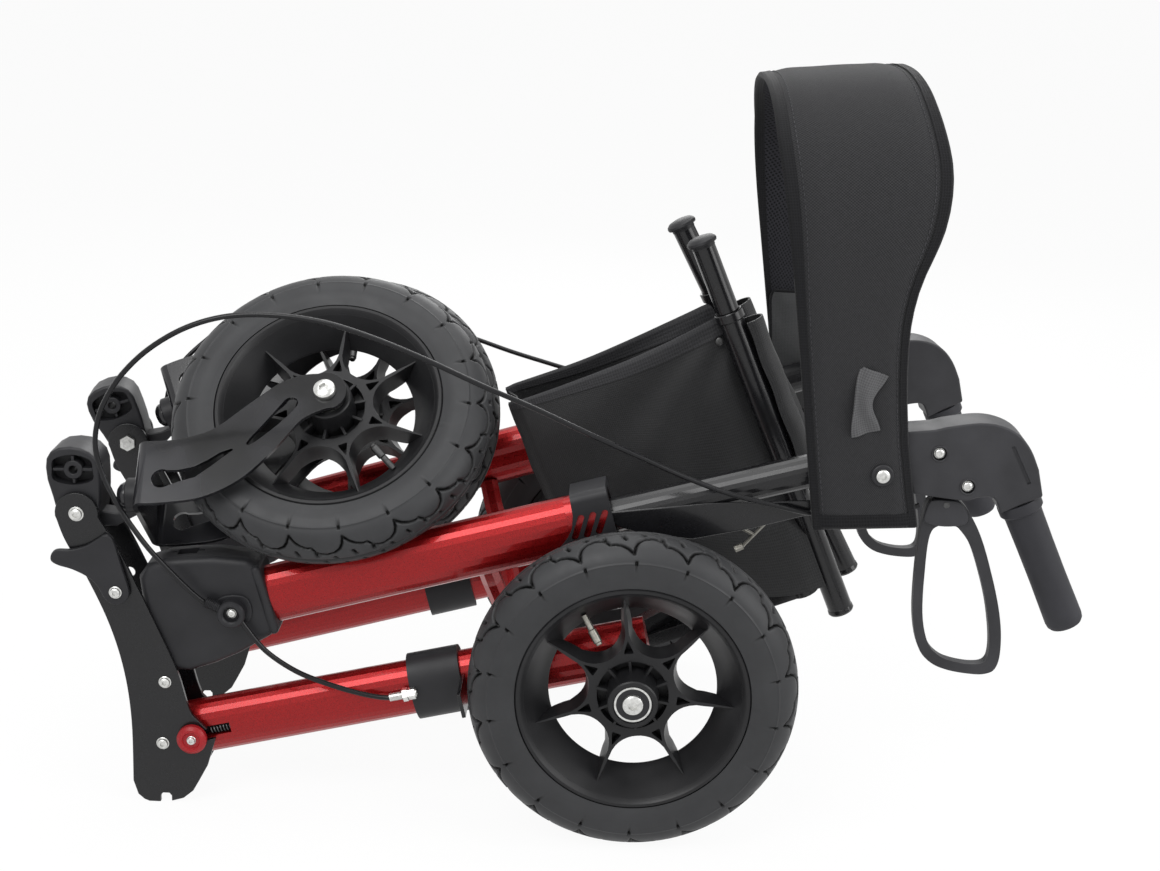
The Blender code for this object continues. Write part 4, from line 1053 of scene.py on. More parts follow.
    def valve(self, gap: float) -> bpy.types.Mesh:
        """The air valve, standing in from the barrel in a gap between two spokes, counted in spokes."""
        form = Form()
        turn = math.radians(self.spoke_phase + 360.0 / self.spokes * gap)
        joints = ((74, -4, 0), (62, -9, 0), (52, -13, 0), (50, -13.8, 0))
        for start, end, radius in zip(joints, joints[1:], (2.6, 3.4, 2.6)):
            form.rod(start, end, radius, 20)
        form.move(Matrix.Rotation(-turn, 4, "Y"))
        return form.soften(0.4, 1).mesh("valve")


def cap_screw(radius: float, height: float) -> bpy.types.Mesh:
    """A domed screw head with a hexagonal socket, standing along -Y from its seat at 0.

    Args:
        radius: The head's radius.
        height: The head's height.

    Returns:
        A mesh in millimetres.
    """
    dome = Form().lathe([(0, 0), (radius, 0.0), (radius, -height * 0.35), (radius * 0.93, -height * 0.68),
                         (radius * 0.72, -height * 0.92), (radius * 0.5, -height), (0.0, -height)], 40)
    socket = Form().rod((0.0, -height * 0.45, 0.0), (0.0, -height - 1.0, 0.0), radius * 0.46, 6)
    return boolean(dome.shell("dome"), [socket.shell("socket")])


@dataclass
class Wheels:
    """The four wheels, dressed from one set of meshes."""

    shop: Workshop
    pattern: Wheel = field(default_factory=Wheel)
    rear_valve: float = 0.5
    front_valve: float = 4.5
    front_turn: Point2 = (14, 40)

    def build(self) -> None:
        """Make the four wheels."""
        wheel = self.pattern
        shared = (wheel.tyre(), wheel.rim(), wheel.ring(*wheel.race), wheel.ring(*wheel.shield))
        rear_valve, front_valve = wheel.valve(self.rear_valve), wheel.valve(self.front_valve)
        axle = LAYOUT.rear_axle()
        for side in Side:
            tag = side.tag
            rear = LAYOUT.side_matrix(side) @ Matrix.Translation((axle[0], -LAYOUT.wheel_offset, axle[1]))
            self.wheel(f"rear_{tag}", rear, (*shared, rear_valve))
            hub = Matrix.Translation((LAYOUT.crown_to_axle, 0.0, LAYOUT.trail))
            face = Matrix.Diagonal((1, -1, 1, 1)) if side is Side.RIGHT else Matrix.Identity(4)
            spun = Matrix.Rotation(math.radians(self.front_turn[side.index]), 4, "Y")
            front = LAYOUT.fork_matrix(side) @ hub @ face @ spun
            self.wheel(f"front_{tag}", front, (*shared, front_valve))

    def wheel(self, name: str, matrix: Matrix, meshes: Sequence[bpy.types.Mesh]) -> None:
        """Dress one wheel.

        Args:
            name: The wheel's name, such as rear_left.
            matrix: The matrix from the wheel's frame to the world.
            meshes: The tyre, rim, race, shield and valve.
        """
        end, tag = name.split("_")
        body = f"{end}_wheel_{tag}"
        tyre, rim, race, shield, valve = meshes
        self.shop.add(f"{name}_tread", tyre, matrix, body, TYRE, [f"{end}_tyre_{tag}"], 60.0)
        self.shop.add(f"{name}_spokes", rim, matrix, body, RIM_PLASTIC, [f"{end}_rim_{tag}"], 28.0)
        self.shop.add(f"{name}_race", race, matrix, body, ZINC)
        self.shop.add(f"{name}_shield", shield, matrix, body, BLACK_PLASTIC)
        self.shop.add(f"{name}_valve", valve, matrix, body, DULL_ZINC if end == "rear" else SPRING_STEEL)


# Side frames


@dataclass
class SideGroup:
    """What every sub-assembly of one side frame has."""

    shop: Workshop
    side: Side

    @property
    def tag(self) -> str:
        """This side's word."""
        return self.side.tag

    @property
    def frame(self) -> str:
        """The body of this side frame."""
        return f"frame_{self.tag}"

    def build(self) -> None:
        """Make the pieces."""
        raise NotImplementedError

    def add(self, name: str, mesh: bpy.types.Mesh, body: str, finish: Finish,
            stands_for: Sequence[str] = ()) -> bpy.types.Object:
        """Add a piece that is drawn in side coordinates, standing in for nodes named without their side."""
        nodes = [f"{node}_{self.tag}" for node in stands_for]
        return self.shop.add(f"{name}_{self.tag}", mesh, LAYOUT.side_matrix(self.side), body, finish, nodes)

    def bolt(self, name: str, place: Point2, face: float, radius: float, body: str,
             stands_for: Sequence[str] = (), through: float | None = None) -> None:
        """Add a bolt with a cap head on an outer face.

        Args:
            name: The piece's name.
            place: Its place in u and z.
            face: The depth of the outer face.
            radius: The head's radius.
            body: The body that it rides on.
            stands_for: CAD nodes that it replaces, named without their side.
            through: The depth of the inner face, where it has a nut.
        """
        u, z = place
        form = Form(cap_screw(radius, radius * 0.6)).shift(u, face - 0.8, z)
        form.turned([(radius * 0.5, 0.0), (radius * 1.2, 0.0), (radius * 1.2, 0.5), (radius * 1.1, 0.8),
                     (radius * 0.5, 0.8)], (u, face, z), (u, face - 1.0, z))
        if through is not None:
            form.rod((u, face - 0.5, z), (u, through + 5.0, z), 3.2, 20)
            form.rod((u, through, z), (u, through + 4.0, z), 7.0, 6)
        self.add(name, form.mesh(name), body, ZINC, stands_for)


@dataclass
class HeadPlates(SideGroup):
    """The two steel plates at the front end, their bolts and the wing lever."""

    inner: float = 18.3
    outer: float = 22.3
    notch: float = 4.5
    hole: float = 4.3
    wing_face: float = -27.8
    wing_back: float = -22.6
    plate_bolt: Point2 = (-365.1, 106)

    def outline(self) -> list[Point2]:
        """The outline of a plate, from its round top down the front edge and back up."""
        slot, notch = LAYOUT.leg[0] + 1.7, self.notch
        front = smooth_outline([(-447.6, 240.5), (-441, 222), (-424.7, 191.4), (-408.4, 153.1),
                                (-397.9, 114), (-393, 71.4), (-392.8, 18)], 6, False)
        foot = [(-389, 6), (-384, 1.6), (-380, 0), (slot - notch, 0.0), (slot - notch, 5.6),
                (slot - 2.6, 8.0), (slot + 2.6, 8.0), (slot + notch, 5.6), (slot + notch, 1.0),
                (-352, 4), (-344, 11), (-338.8, 20.7), (-332, 34)]
        slope = LAYOUT.leg_slope
        mouth = [LAYOUT.on_leg(43.0, -notch), *arc(LAYOUT.on_leg(25.0), notch, 270.0 + slope, 90.0 + slope, 8),
                 LAYOUT.on_leg(38.0, notch)]
        back = smooth_outline([(-344, 78), (-347.8, 88.5), (-355, 115), (-367.9, 146.5),
                               (-397.2, 211.1), (-415, 243)], 6, False)
        return [*arc(LAYOUT.head, 17.0, 2.0, 188.0, 16), *front, *foot, *mouth, *back]

    def build(self) -> None:
        """Make the plates, bolts and lever."""
        holes = [circle(place, self.hole, 20) for place in (LAYOUT.head, LAYOUT.leg, LAYOUT.latch)]
        for name, low, high in (("plate_outer", -self.outer, -self.inner), ("plate_inner", self.inner, self.outer)):
            self.add(name + "_shell", stamped(self.outline(), low, high, holes, 1.5), self.frame, ENAMEL, [name])
        self.bolt("head_bolt", LAYOUT.head, -self.outer, 4.9, self.frame, ["head_pivot_bolt"], self.outer)
        self.bolt("leg_bolt", LAYOUT.leg, -self.outer, 4.3, self.frame, ["leg_pivot_bolt"], self.outer)
        self.bolt("plate_bolt", self.plate_bolt, -self.outer, 4.2, self.frame)
        wing = [(-451.6, 207), (-451.2, 212.6), (-447, 216.2), (-436, 216.9), (-424, 220.6),
                (-414, 227), (-409.6, 230.2), (-405, 229.6), (-401.5, 224), (-396, 203),
                (-391.4, 186.5), (-391.5, 179), (-397, 173), (-404.5, 172.6), (-410.5, 177.5),
                (-415.6, 187), (-423, 194.5), (-435, 200.4), (-446, 203.4)]
        lever = stamped(smooth_outline(wing, 5), self.wing_face, self.wing_back, holes[2:], 2.3)
        body = f"latch_lever_{self.tag}"
        self.add("wing", lever, body, BLACK_PLASTIC, ["latch_lever"])
        self.bolt("wing_bolt", LAYOUT.latch, self.wing_face, 4.2, body)


@dataclass
class Housing(SideGroup):
    """The moulded housing between the head plates, with the clip of the brake cable."""

    half: float = 18.0
    lip_half: float = 19.2
    clip: Point2 = (-310.1, 169)

    def build(self) -> None:
        """Make the housing and its clip."""
        outline = [(-386, 192), (-379, 203), (-364, 208.5), (-346, 211), (-326, 212.5), (-300, 211.2),
                   LAYOUT.on_main(-0.3, 29.8), LAYOUT.on_main(-0.3, -27.8), (-305, 131), (-325, 121),
                   (-345, 113.5), (-372, 113), (-382, 160)]
        shell = stamped(outline, -self.half, self.half, [], 7.0, 4)
        key = Form().box((-357, -7, 200), (-341, 5, 212)).mesh("key")
        slit = Form().box((-362, -1, 200), (-336, 1.6, 212)).mesh("slit")
        self.add("housing_shell", boolean(shell, [key, slit]), self.frame, BLACK_PLASTIC, ["frame_housing"])
        lip = [LAYOUT.on_main(*corner) for corner in ((-7, 30.6), (1, 30.6), (1, -28.6), (-7, -28.6))]
        self.add("housing_lip", stamped(lip, -self.lip_half, self.lip_half, [], 6.0, 4), self.frame, BLACK_PLASTIC)
        u, z = self.clip
        base = stamped(smooth_outline([(u - 16, z + 3), (u - 8, z + 11.5), (u + 8, z + 12.5), (u + 14.5, z + 4),
                                       (u + 13.5, z - 7), (u + 4, z - 13), (u - 9, z - 11), (u - 15, z - 5)], 5),
                       -20.2, -17.5, [], 1.0)
        form = Form(base)
        form.turned([(6.4, 0), (11, 0), (11, 10.6), (10, 12), (7.6, 12), (6.4, 10.8)],
                    (u, -18.5, z), (u, -20.0, z), 48)
        form.turned([(0, 0), (7, 0), (7, 7), (0, 7)], (u, -18.5, z), (u, -20.0, z), 32)
        start, end = Vector((u - 21.0, -24.6, z + 8.6)), Vector((u - 8.0, -24.4, z + 3.2))
        for index in range(11):
            spot = start.lerp(end, index / 10)
            step = (end - start) / 24
            form.turned([(2.2, 0), (4.4, 0.1), (4.9, 0.35), (4.4, 0.6), (2.2, 0.7)], spot, spot + step, 28)
        form.turned([(2.2, 0), (4.1, 0), (4.1, 14), (2.2, 14)], start, end, 28)
        self.add("cable_clip", form.mesh("clip"), self.frame, BLACK_PLASTIC)
        self.bolt("clip_bolt", (u, z), -25.5, 3.4, self.frame)


@dataclass
class Tubes(SideGroup):
    """The red main tube, its moulded collar, the black upper tube and the gusset under it."""

    collar_at: float = 222.0
    collar_length: float = 60.0
    collar_half: float = 19.5
    oval_sides: int = 56

    def oval(self, distance: float, high: float, wide: float) -> list[Point3]:
        """A ring of an oval tube at a distance along the main tube."""
        ring = []
        for step in range(self.oval_sides):
            angle = math.tau * step / self.oval_sides
            u, z = LAYOUT.on_main(distance, high * math.cos(angle))
            ring.append((u, wide * math.sin(angle), z))
        return ring

    def collar(self) -> bpy.types.Mesh:
        """The collar: a sleeve with a swept end and three slots."""
        across, start = self.collar_half, self.collar_at
        section = [(-across, -16.0), (-across + 9.0, -28.0), (across - 9.0, -28.0), (across, -16.0),
                   (across, 25.0), (across - 4.0, 29.0), (-across + 4.0, 29.0), (-across, 25.0)]
        block = stamped(section, 0.0, self.collar_length, [], 0.0)
        stand = Matrix(((0, 1, 0, 0), (1, 0, 0, 0), (0, 0, 1, 0), (0, 0, 0, 1)))
        body = Form(block).move(stand).soften(3.0, 3, 30.0, lambda e: abs(
            e.verts[0].co.x - e.verts[1].co.x) > 30.0)
        body.aim(LAYOUT.on_main(start), LAYOUT.main_slope)
        bore = Form().loft([self.oval(start + at, 24.4, 15.8) for at in (-1.0, self.collar_length + 1.0)])
        sweep = [(-1, 40), (31, 40), (30.8, 24), (30, 13), (26.6, 2), (21, -5), (14, -11),
                 (5, -17), (-1, -20)]
        sweep = [LAYOUT.on_main(start + a, b) for a, b in sweep]
        cutters = [bore.shell("bore"), stamped(sweep, -25.0, 25.0, [], 0.0)]
        for top, bottom in (((-37.6, 259.1), (-41.6, 242.5)), ((-28.4, 262), (-32.3, 244.6)),
                            ((-19.1, 264.1), (-23.1, 248.3))):
            slot = [*arc(top, 2.6, -14.0, 166.0, 8), *arc(bottom, 2.6, 166.0, 346.0, 8)]
            cutters.append(stamped(slot, -25.0, 0.0, [], 0.0))
        return Form(boolean(body.shell("collar"), cutters)).clean(0.03, 1.5).shell("collar")

    def build(self) -> None:
        """Dress the tubes and make the collar and gusset."""
        self.shop.dress([f"main_tube_{self.tag}"], LACQUER)
        self.shop.dress([f"upper_tube_{self.tag}"], ENAMEL)
        self.add("collar_shell", self.collar(), self.frame, BLACK_PLASTIC, ["saddle_collar"])
        sleeve = Form().loft([self.oval(at, 23.9, 15.4) for at in (240, 279)])
        self.add("tube_end", sleeve.shell("sleeve"), self.frame, LACQUER)
        flap = [(-24, 262), (-10, 252), (8, 247), (50, 243.8), (95, 254.5), (141.4, 268.6),
                (141, 280), (60, 274)]
        self.add("gusset", stamped(flap, -14.6, -11.6, [], 1.2), self.frame, ENAMEL)
        if self.side is Side.LEFT:
            fittings = Form()
            for u, z, end_u, end_z, radius in ((86, 228, 92, 231, 2.6), (92, 231, 99, 240, 1.7),
                                               (99, 240, 108, 250, 1.4)):
                fittings.turned([(0, 0), (radius, 0.0), (radius, 1.0), (0, 1)], (u, 12.0, z),
                                (end_u, 12.0, end_z))
            fittings.rod((86, 12, 228), (92, 12, 231), 2.8, 6)
            fittings.rod((92, 12, 231), (108, 12, 250), 1.4, 16)
            fittings.rod((100, 12, 241), (60, 11, 262), 1.5, 16)
            self.add("stay", fittings.mesh("stay"), self.frame, DULL_ZINC)


@dataclass
class RearLeg(SideGroup):
    """The red rear leg with its spring lock, knob, clamp, brake shoe and cable adjuster."""

    knob_at: float = 25.0
    spring_turns: float = 6.5
    spring_radius: float = 3.0

    def along(self, distance: float, inward: float, rise: float = 0.0) -> Vector:
        """A point of the leg's line at a depth."""
        u, z = LAYOUT.on_leg(distance, rise)
        return Vector((u, inward, z))

    def build(self) -> None:
        """Make the pieces of the leg."""
        leg = f"rear_leg_{self.tag}"
        self.shop.dress([leg], LACQUER)
        self.shop.refine(f"leg_clamp_{self.tag}", leg, BLACK_PLASTIC, Edge.MOULDED)
        self.shop.refine(f"brake_shoe_{self.tag}", f"brake_shoe_{self.tag}", ENAMEL, Edge.CRISP)
        well = Form().rod(self.along(20.0, 0.0), self.along(60.0, 0.0), 9.0, 24)
        self.add("lock_well", well.mesh("well"), leg, BLACK_PLASTIC)
        steps, reach, wire = int(self.spring_turns * 20), self.spring_radius, []
        for step in range(steps + 1):
            angle = math.tau * step / 20
            wire.append(self.along(38.0 + 17.0 * step / steps, -12.0 + reach * math.cos(angle),
                                   reach * math.sin(angle)))
        self.add("lock_spring", pipe(wire, 0.65, 2), leg, SPRING_STEEL)
        knob = Form()
        knob.turned([(0, 0), (11.4, 0), (12, 0.6), (12, 4.6), (11.3, 5.6), (9.4, 7), (7.4, 7),
                     (6.4, 5.4), (0, 5.2)], self.along(self.knob_at, -22.6), self.along(self.knob_at, -30.0), 56)
        self.add("knob", knob.mesh("knob"), f"release_knob_{self.tag}", KNOB_RED, ["release_knob"])
        self.bolt("knob_bolt", LAYOUT.on_leg(self.knob_at), -27.7, 3.2, f"release_knob_{self.tag}")
        self.adjuster(leg)
        u, z = LAYOUT.rear_axle()
        axle = Form().rod((u, -78.0, z), (u, 20.0, z), 5.8, 24).rod((u, 15.4, z), (u, 21.2, z), 9.0, 6)
        axle.add_mesh(Form(cap_screw(8.4, 4.6)).shift(u, -77.6, z).mesh("cap"))
        self.add("rear_cap", axle.mesh("axle"), leg, ZINC, ["rear_axle"])

    def adjuster(self, leg: str) -> None:
        """The zinc screw that sets the cable, on the front end of the clamp."""
        start, end = Vector((-184.5, -22.5, 101.6)), Vector((-162, -22.5, 107.2))
        form = Form()
        form.turned([(2.3, 0), (3.3, 0), (3.3, 22), (2.3, 22)], start, end, 32)
        step = (end - start).normalized()
        for index in range(9):
            spot = start + step * (1.0 + index * 1.1)
            form.turned([(3, 0), (3.7, 0.4), (3, 0.8)], spot, spot + step, 28)
        form.rod(start + step * 11.0, start + step * 15.0, 5.6, 6)
        form.rod(start + step * 15.4, start + step * 21.0, 4.9, 6)
        self.add("adjuster", form.mesh("adjuster"), leg, ZINC)


@dataclass
class Caster(SideGroup):
    """A folding head block and the stamped fork that swivels in it."""

    half: float = 39.0
    wall: float = 4.0
    bend: float = 8.0

    def outline(self) -> list[Point2]:
        """A blade's outline, along the stem and across towards the trail."""
        end = (LAYOUT.crown_to_axle, LAYOUT.trail)
        low = smooth_outline([(8, -27), (24, -26.8), (54, -23), (82, -9), (106, 15), (128, 43),
                              (150, 53.6)], 5, False)[:-1]
        high = smooth_outline([(139, 84), (126, 83), (108, 76), (84, 57), (58, 36), (30, 28),
                               (8, 27)], 5, False)[1:]
        return [*low, *arc(end, 17.0, -62.0, 110.0, 20), *high]

    def holes(self) -> list[list[Point2]]:
        """The keyhole and slot of a blade, and the hole of the axle."""
        keyhole = [*arc((22, -6), 8.0, 62.0, 300.0, 16), (36, -9), (48, -5.6), (60, 4), (70, 12.5),
                   (76, 17.4), (74.5, 18.6), (66, 15.4), (56, 8.6), (46, 3.4), (34, 1)]
        slot = smooth_outline([(86, 24), (90, 22.4), (104, 34), (116, 46), (123.5, 56), (122, 62),
                               (115, 62), (107, 52), (98, 40)], 4)
        return [keyhole, slot, circle((LAYOUT.crown_to_axle, LAYOUT.trail), 5.3, 20)]

    def fork(self) -> bpy.types.Mesh:
        """The fork: two blades, the crown bent round between them and the swivel pin."""
        half, wall, bend = self.half, self.wall, self.bend
        form = Form()
        for low in (-half, half - wall):
            blade = Form(stamped(self.outline(), low, low + wall, self.holes(), 0.0))
            blade.soften(1.2, 3, 50.0, lambda e: min(v.co.x for v in e.verts) > 8.01 or abs(
                e.verts[0].co.x - e.verts[1].co.x) > 0.1)
            form.add_mesh(blade.mesh("blade"))
        outer = [*arc((bend, -half + bend), bend, 270.0, 180.0, 10), *arc((bend, half - bend), bend, 180.0, 90.0, 10)]
        inner = [*arc((bend, half - bend), bend - wall, 90.0, 180.0, 8),
                 *arc((bend, -half + bend), bend - wall, 180.0, 270.0, 8)]
        crown = Form(stamped([*outer, *inner], -27.0, 27.0, [], 0.0))
        crown.move(Matrix(((1, 0, 0, 0), (0, 0, 1, 0), (0, 1, 0, 0), (0, 0, 0, 1))))
        crown.soften(1.2, 3, 50.0, lambda e: max(v.co.x for v in e.verts) < bend - 0.01)
        form.add_mesh(crown.mesh("crown"))
        form.turned([(0, 0), (6, 0), (6, 18), (0, 18)], (2, 0, 0), (-2, 0, 0))
        form.turned([(0, 0), (10.5, 0), (10.5, 2.4), (9.4, 4.8), (6.6, 7), (3, 7.9), (0, 8)],
                    (-14.3, 0, 0), (-16, 0, 0), 48)
        return form.mesh("fork")

    def head(self) -> bpy.types.Mesh:
        """The head block, with a ribbed pocket that shows its pivot ring and a sleeve for the stem."""
        outline = [*arc((0, 0), 16.5, 186.0, 350.0, 18), (18.4, 14), (19, 25), (19, 36), (17, 43),
                   (12, 48.6), (5, 52), (-3, 53), (-12, 52), (-18.6, 48.4), (-22, 43), (-23, 36),
                   (-22.4, 26), (-19, 12)]
        block = stamped(outline, -18.0, 18.0, [], 2.4, 3)
        pocket = stamped(smooth_outline([(-17, 26), (-2, 22.4), (13, 26), (14, 35), (12, 43),
                                         (-2, 47), (-16, 43), (-18, 35)], 4), -20.0, -7.0, [], 0.0)
        key = stamped(circle((-1.5, 34.5), 3.4, 24), -30.0, 30.0, [], 0.0)
        form = Form(boolean(block, [pocket, key]))
        form.turned([(3.4, 0), (7.4, 0), (7.4, 13.4), (6.8, 14), (3.9, 14), (3.4, 13.5)],
                    (-1.5, -4, 34.5), (-1.5, -6, 34.5))
        for low, high in (((-17.5, -17, 33.4), (-8, -6, 35.6)), ((5, -17, 33.4), (13.6, -6, 35.6)),
                          ((-2.6, -17, 40.5), (-0.4, -6, 46)), ((-2.6, -17, 23.6), (-0.4, -6, 28.4))):
            form.add_mesh(Form().box(low, high).soften(0.3, 1).mesh("rib"))
        web = [(4, -14.5), (28, -14), (37, -9), (45.5, -4.5), (45.5, 6), (37, 8), (36.2, -3.2),
               (27, -3.6), (12, -1)]
        form.add_mesh(stamped(web, -9.0, 9.0, [], 1.2))
        crown = Vector((LAYOUT.crown_forward, 0.0, LAYOUT.crown_rise))
        slope = math.radians(LAYOUT.stem_slope)
        back = crown - 14.0 * Vector((math.cos(slope), 0.0, math.sin(slope)))
        form.turned([(6.3, 0), (13.2, 0), (14, 0.8), (14, 12.9), (13.2, 13.7), (6.3, 13.7)], back, crown, 48)
        form.rod((0, -18, 0), (0, 18, 0), 5.0, 20)
        return form.mesh("head")

    def build(self) -> None:
        """Make the head and fork and their axle."""
        tag, shop = self.tag, self.shop
        shop.add(f"head_block_{tag}", self.head(), LAYOUT.head_matrix(self.side), f"caster_head_{tag}",
                 BLACK_PLASTIC, [f"caster_head_{tag}"])
        frame = LAYOUT.fork_matrix(self.side)
        shop.add(f"fork_shell_{tag}", self.fork(), frame, f"caster_fork_{tag}", FORK_ENAMEL, [f"caster_fork_{tag}"])
        u, z = LAYOUT.crown_to_axle, LAYOUT.trail
        axle = Form().rod((u, -self.half, z), (u, self.half, z), 5.0, 24)
        axle.add_mesh(Form(cap_screw(9.0, 5.6)).shift(u, -self.half - 0.2, z).mesh("cap"))
        axle.rod((u, self.half, z), (u, self.half + 5.8, z), 9.0, 6)
        shop.add(f"front_bolt_{tag}", axle.mesh("axle"), frame, f"caster_fork_{tag}", ZINC, [f"front_axle_{tag}"])


@dataclass
class Handle(SideGroup):
    """The moulded handle with its grip and the looped brake lever."""

    grip_top: Point2 = (303.5, 284)
    slope: float = 64.5
    eye: Point2 = (247, 279)
    half: float = 16.0
    mouth: float = 17.5
    stem_ends: Point2 = (362, 531)
    stem_radius: float = 11.2
    screws: tuple[Point2, ...] = ((236.4, 322.8), (260.5, 297.2))

    def beside(self, place: Point2, points: Iterable[Point2]) -> list[Point2]:
        """Points given from a place."""
        return [(place[0] + a, place[1] + b) for a, b in points]

    def down(self) -> Point2:
        """The direction in which the grip runs."""
        turn = math.radians(self.slope)
        return math.cos(turn), -math.sin(turn)

    def elbow(self) -> bpy.types.Mesh:
        """The moulded elbow between the upper tube and the grip."""
        u, z = self.grip_top
        du, dz = self.down()
        reach = self.mouth
        crest = smooth_outline(self.beside(self.grip_top, [
            (-72, 57.5), (-59.5, 61), (-37.5, 64.5), (-21.5, 63), (-7.5, 56.5), (3, 44.5),
            (10.5, 29)]), 5, False)
        right, left = (u - dz * reach, z + du * reach), (u + dz * reach, z - du * reach)
        belly = smooth_outline([left, *self.beside(self.grip_top, [(-22, 4.5), (-34, 4.4), (-46, 1.6)]),
                                LAYOUT.on_main(512.3, -32.6)], 5, False)
        body = stamped([LAYOUT.on_main(512.3, 18.6), *crest, right, *belly], -self.half, self.half, [], 7.0, 4)
        slot = stamped([(290.6, 330.8), (293.4, 331.6), (308.8, 302.4), (306.2, 301)], -20.0, -14.6, [], 0.0)
        wells = [Form().rod((a, -20.0, b), (a, -13.0, b), 6.4, 28).mesh("well")
                 for a, b in self.screws]
        return boolean(body, [slot, *wells])

    def grip(self) -> bpy.types.Mesh:
        """The grip, with a cuff, a waist and a rounded end."""
        u, z = self.grip_top
        du, dz = self.down()
        profile = [(0, 0.4), (17.3, 0.4), (17.6, 1.4), (17.5, 8.4), (16.6, 9.6), (15.3, 10.4), (15, 14),
                   (14.6, 40), (14.5, 70), (14.9, 98), (15, 107), (14.4, 110.6), (12.8, 112.9),
                   (10, 113.9), (6, 114), (0, 114)]
        form = Form().turned(profile, (u, 0.0, z), (u + du, 0.0, z + dz), 64)
        return form.mesh("grip")

    def lever(self) -> bpy.types.Mesh:
        """The lever: a closed loop with a forked eye."""
        outer = self.beside(self.eye, [
            (-13, 2.5), (0, 3.4), (11, 2.5), (22, -11), (33, -33), (46, -71), (53, -100),
            (54.8, -124), (52, -137), (45, -141.6), (34, -142.4), (15, -140), (0, -134),
            (-11, -121), (-17.5, -94), (-19, -54), (-17.5, -17)])
        inner = self.beside(self.eye, [
            (-3, -18), (7, -18), (13, -21), (24, -37), (37, -73), (43.5, -101),
            (45.6, -121), (43, -131.4), (33, -134), (17, -132), (5, -127), (-4, -116),
            (-10, -92), (-11.4, -54), (-10, -26)])
        loop = Form(stamped(smooth_outline(outer, 5), -4.5, 4.5, [smooth_outline(inner, 5)], 0.0))
        u, z = self.eye
        room = Form().box((u - 10.0, -3.8, z - 8.0), (u + 10.0, 3.8, z + 12.0))
        form = Form(boolean(loop.mesh("loop"), [room.mesh("room")])).soften(2.4, 3, 50.0)
        cheek = smooth_outline(self.beside(self.eye, [(-12, 3), (0, 4.2), (10.5, 2.5), (17, -6),
                                                      (17, -15), (0, -18), (-15.5, -15), (-16, -6)]), 4)
        for low, high in ((-8, -3.9), (3.9, 8)):
            form.add_mesh(stamped(cheek, low, high, [], 1.4))
        return form.mesh("lever")

    def build(self) -> None:
        """Make the handle's pieces."""
        body = f"handle_{self.tag}"
        self.add("elbow", self.elbow(), body, HANDLE_PLASTIC, ["handle_body"])
        low, high = (LAYOUT.on_main(at) for at in self.stem_ends)
        stem = Form().rod((low[0], 0.0, low[1]), (high[0], 0.0, high[1]), self.stem_radius, 40)
        self.add("stem", stem.mesh("stem"), body, ENAMEL)
        lug = stamped(self.beside(self.eye, [(-8, 16), (8, 16), (6.5, -4), (0, -6.5), (-6.5, -4)]),
                      -3.5, 3.5, [], 0.8)
        self.add("lever_lug", lug, body, HANDLE_PLASTIC)
        self.add("grip_shell", self.grip(), body, GRIP_RUBBER, ["grip"])
        for index, place in enumerate(self.screws):
            self.bolt(f"handle_bolt_{index}", place, -13.4, 3.8, body)
            ring = Form().turned([(5.4, 0), (6.6, 0), (6.6, 1), (6.2, 1.4), (5.8, 1.4), (5.4, 1)],
                                 (place[0], -15.4, place[1]), (place[0], -17.0, place[1]))
            self.add(f"handle_ring_{index}", ring.mesh("ring"), body, HANDLE_PLASTIC)
        lever = f"brake_lever_{self.tag}"
        self.add("lever_loop", self.lever(), lever, HANDLE_PLASTIC, ["brake_lever"])
        u, z = self.eye
        pin = Form().rod((u, -8.4, z), (u, 8.4, z), 2.6, 24).soften(0.6, 2)
        self.add("lever_pin", pin.mesh("pin"), lever, SPRING_STEEL)


# The middle: brace, rails, bag, backrest and cables


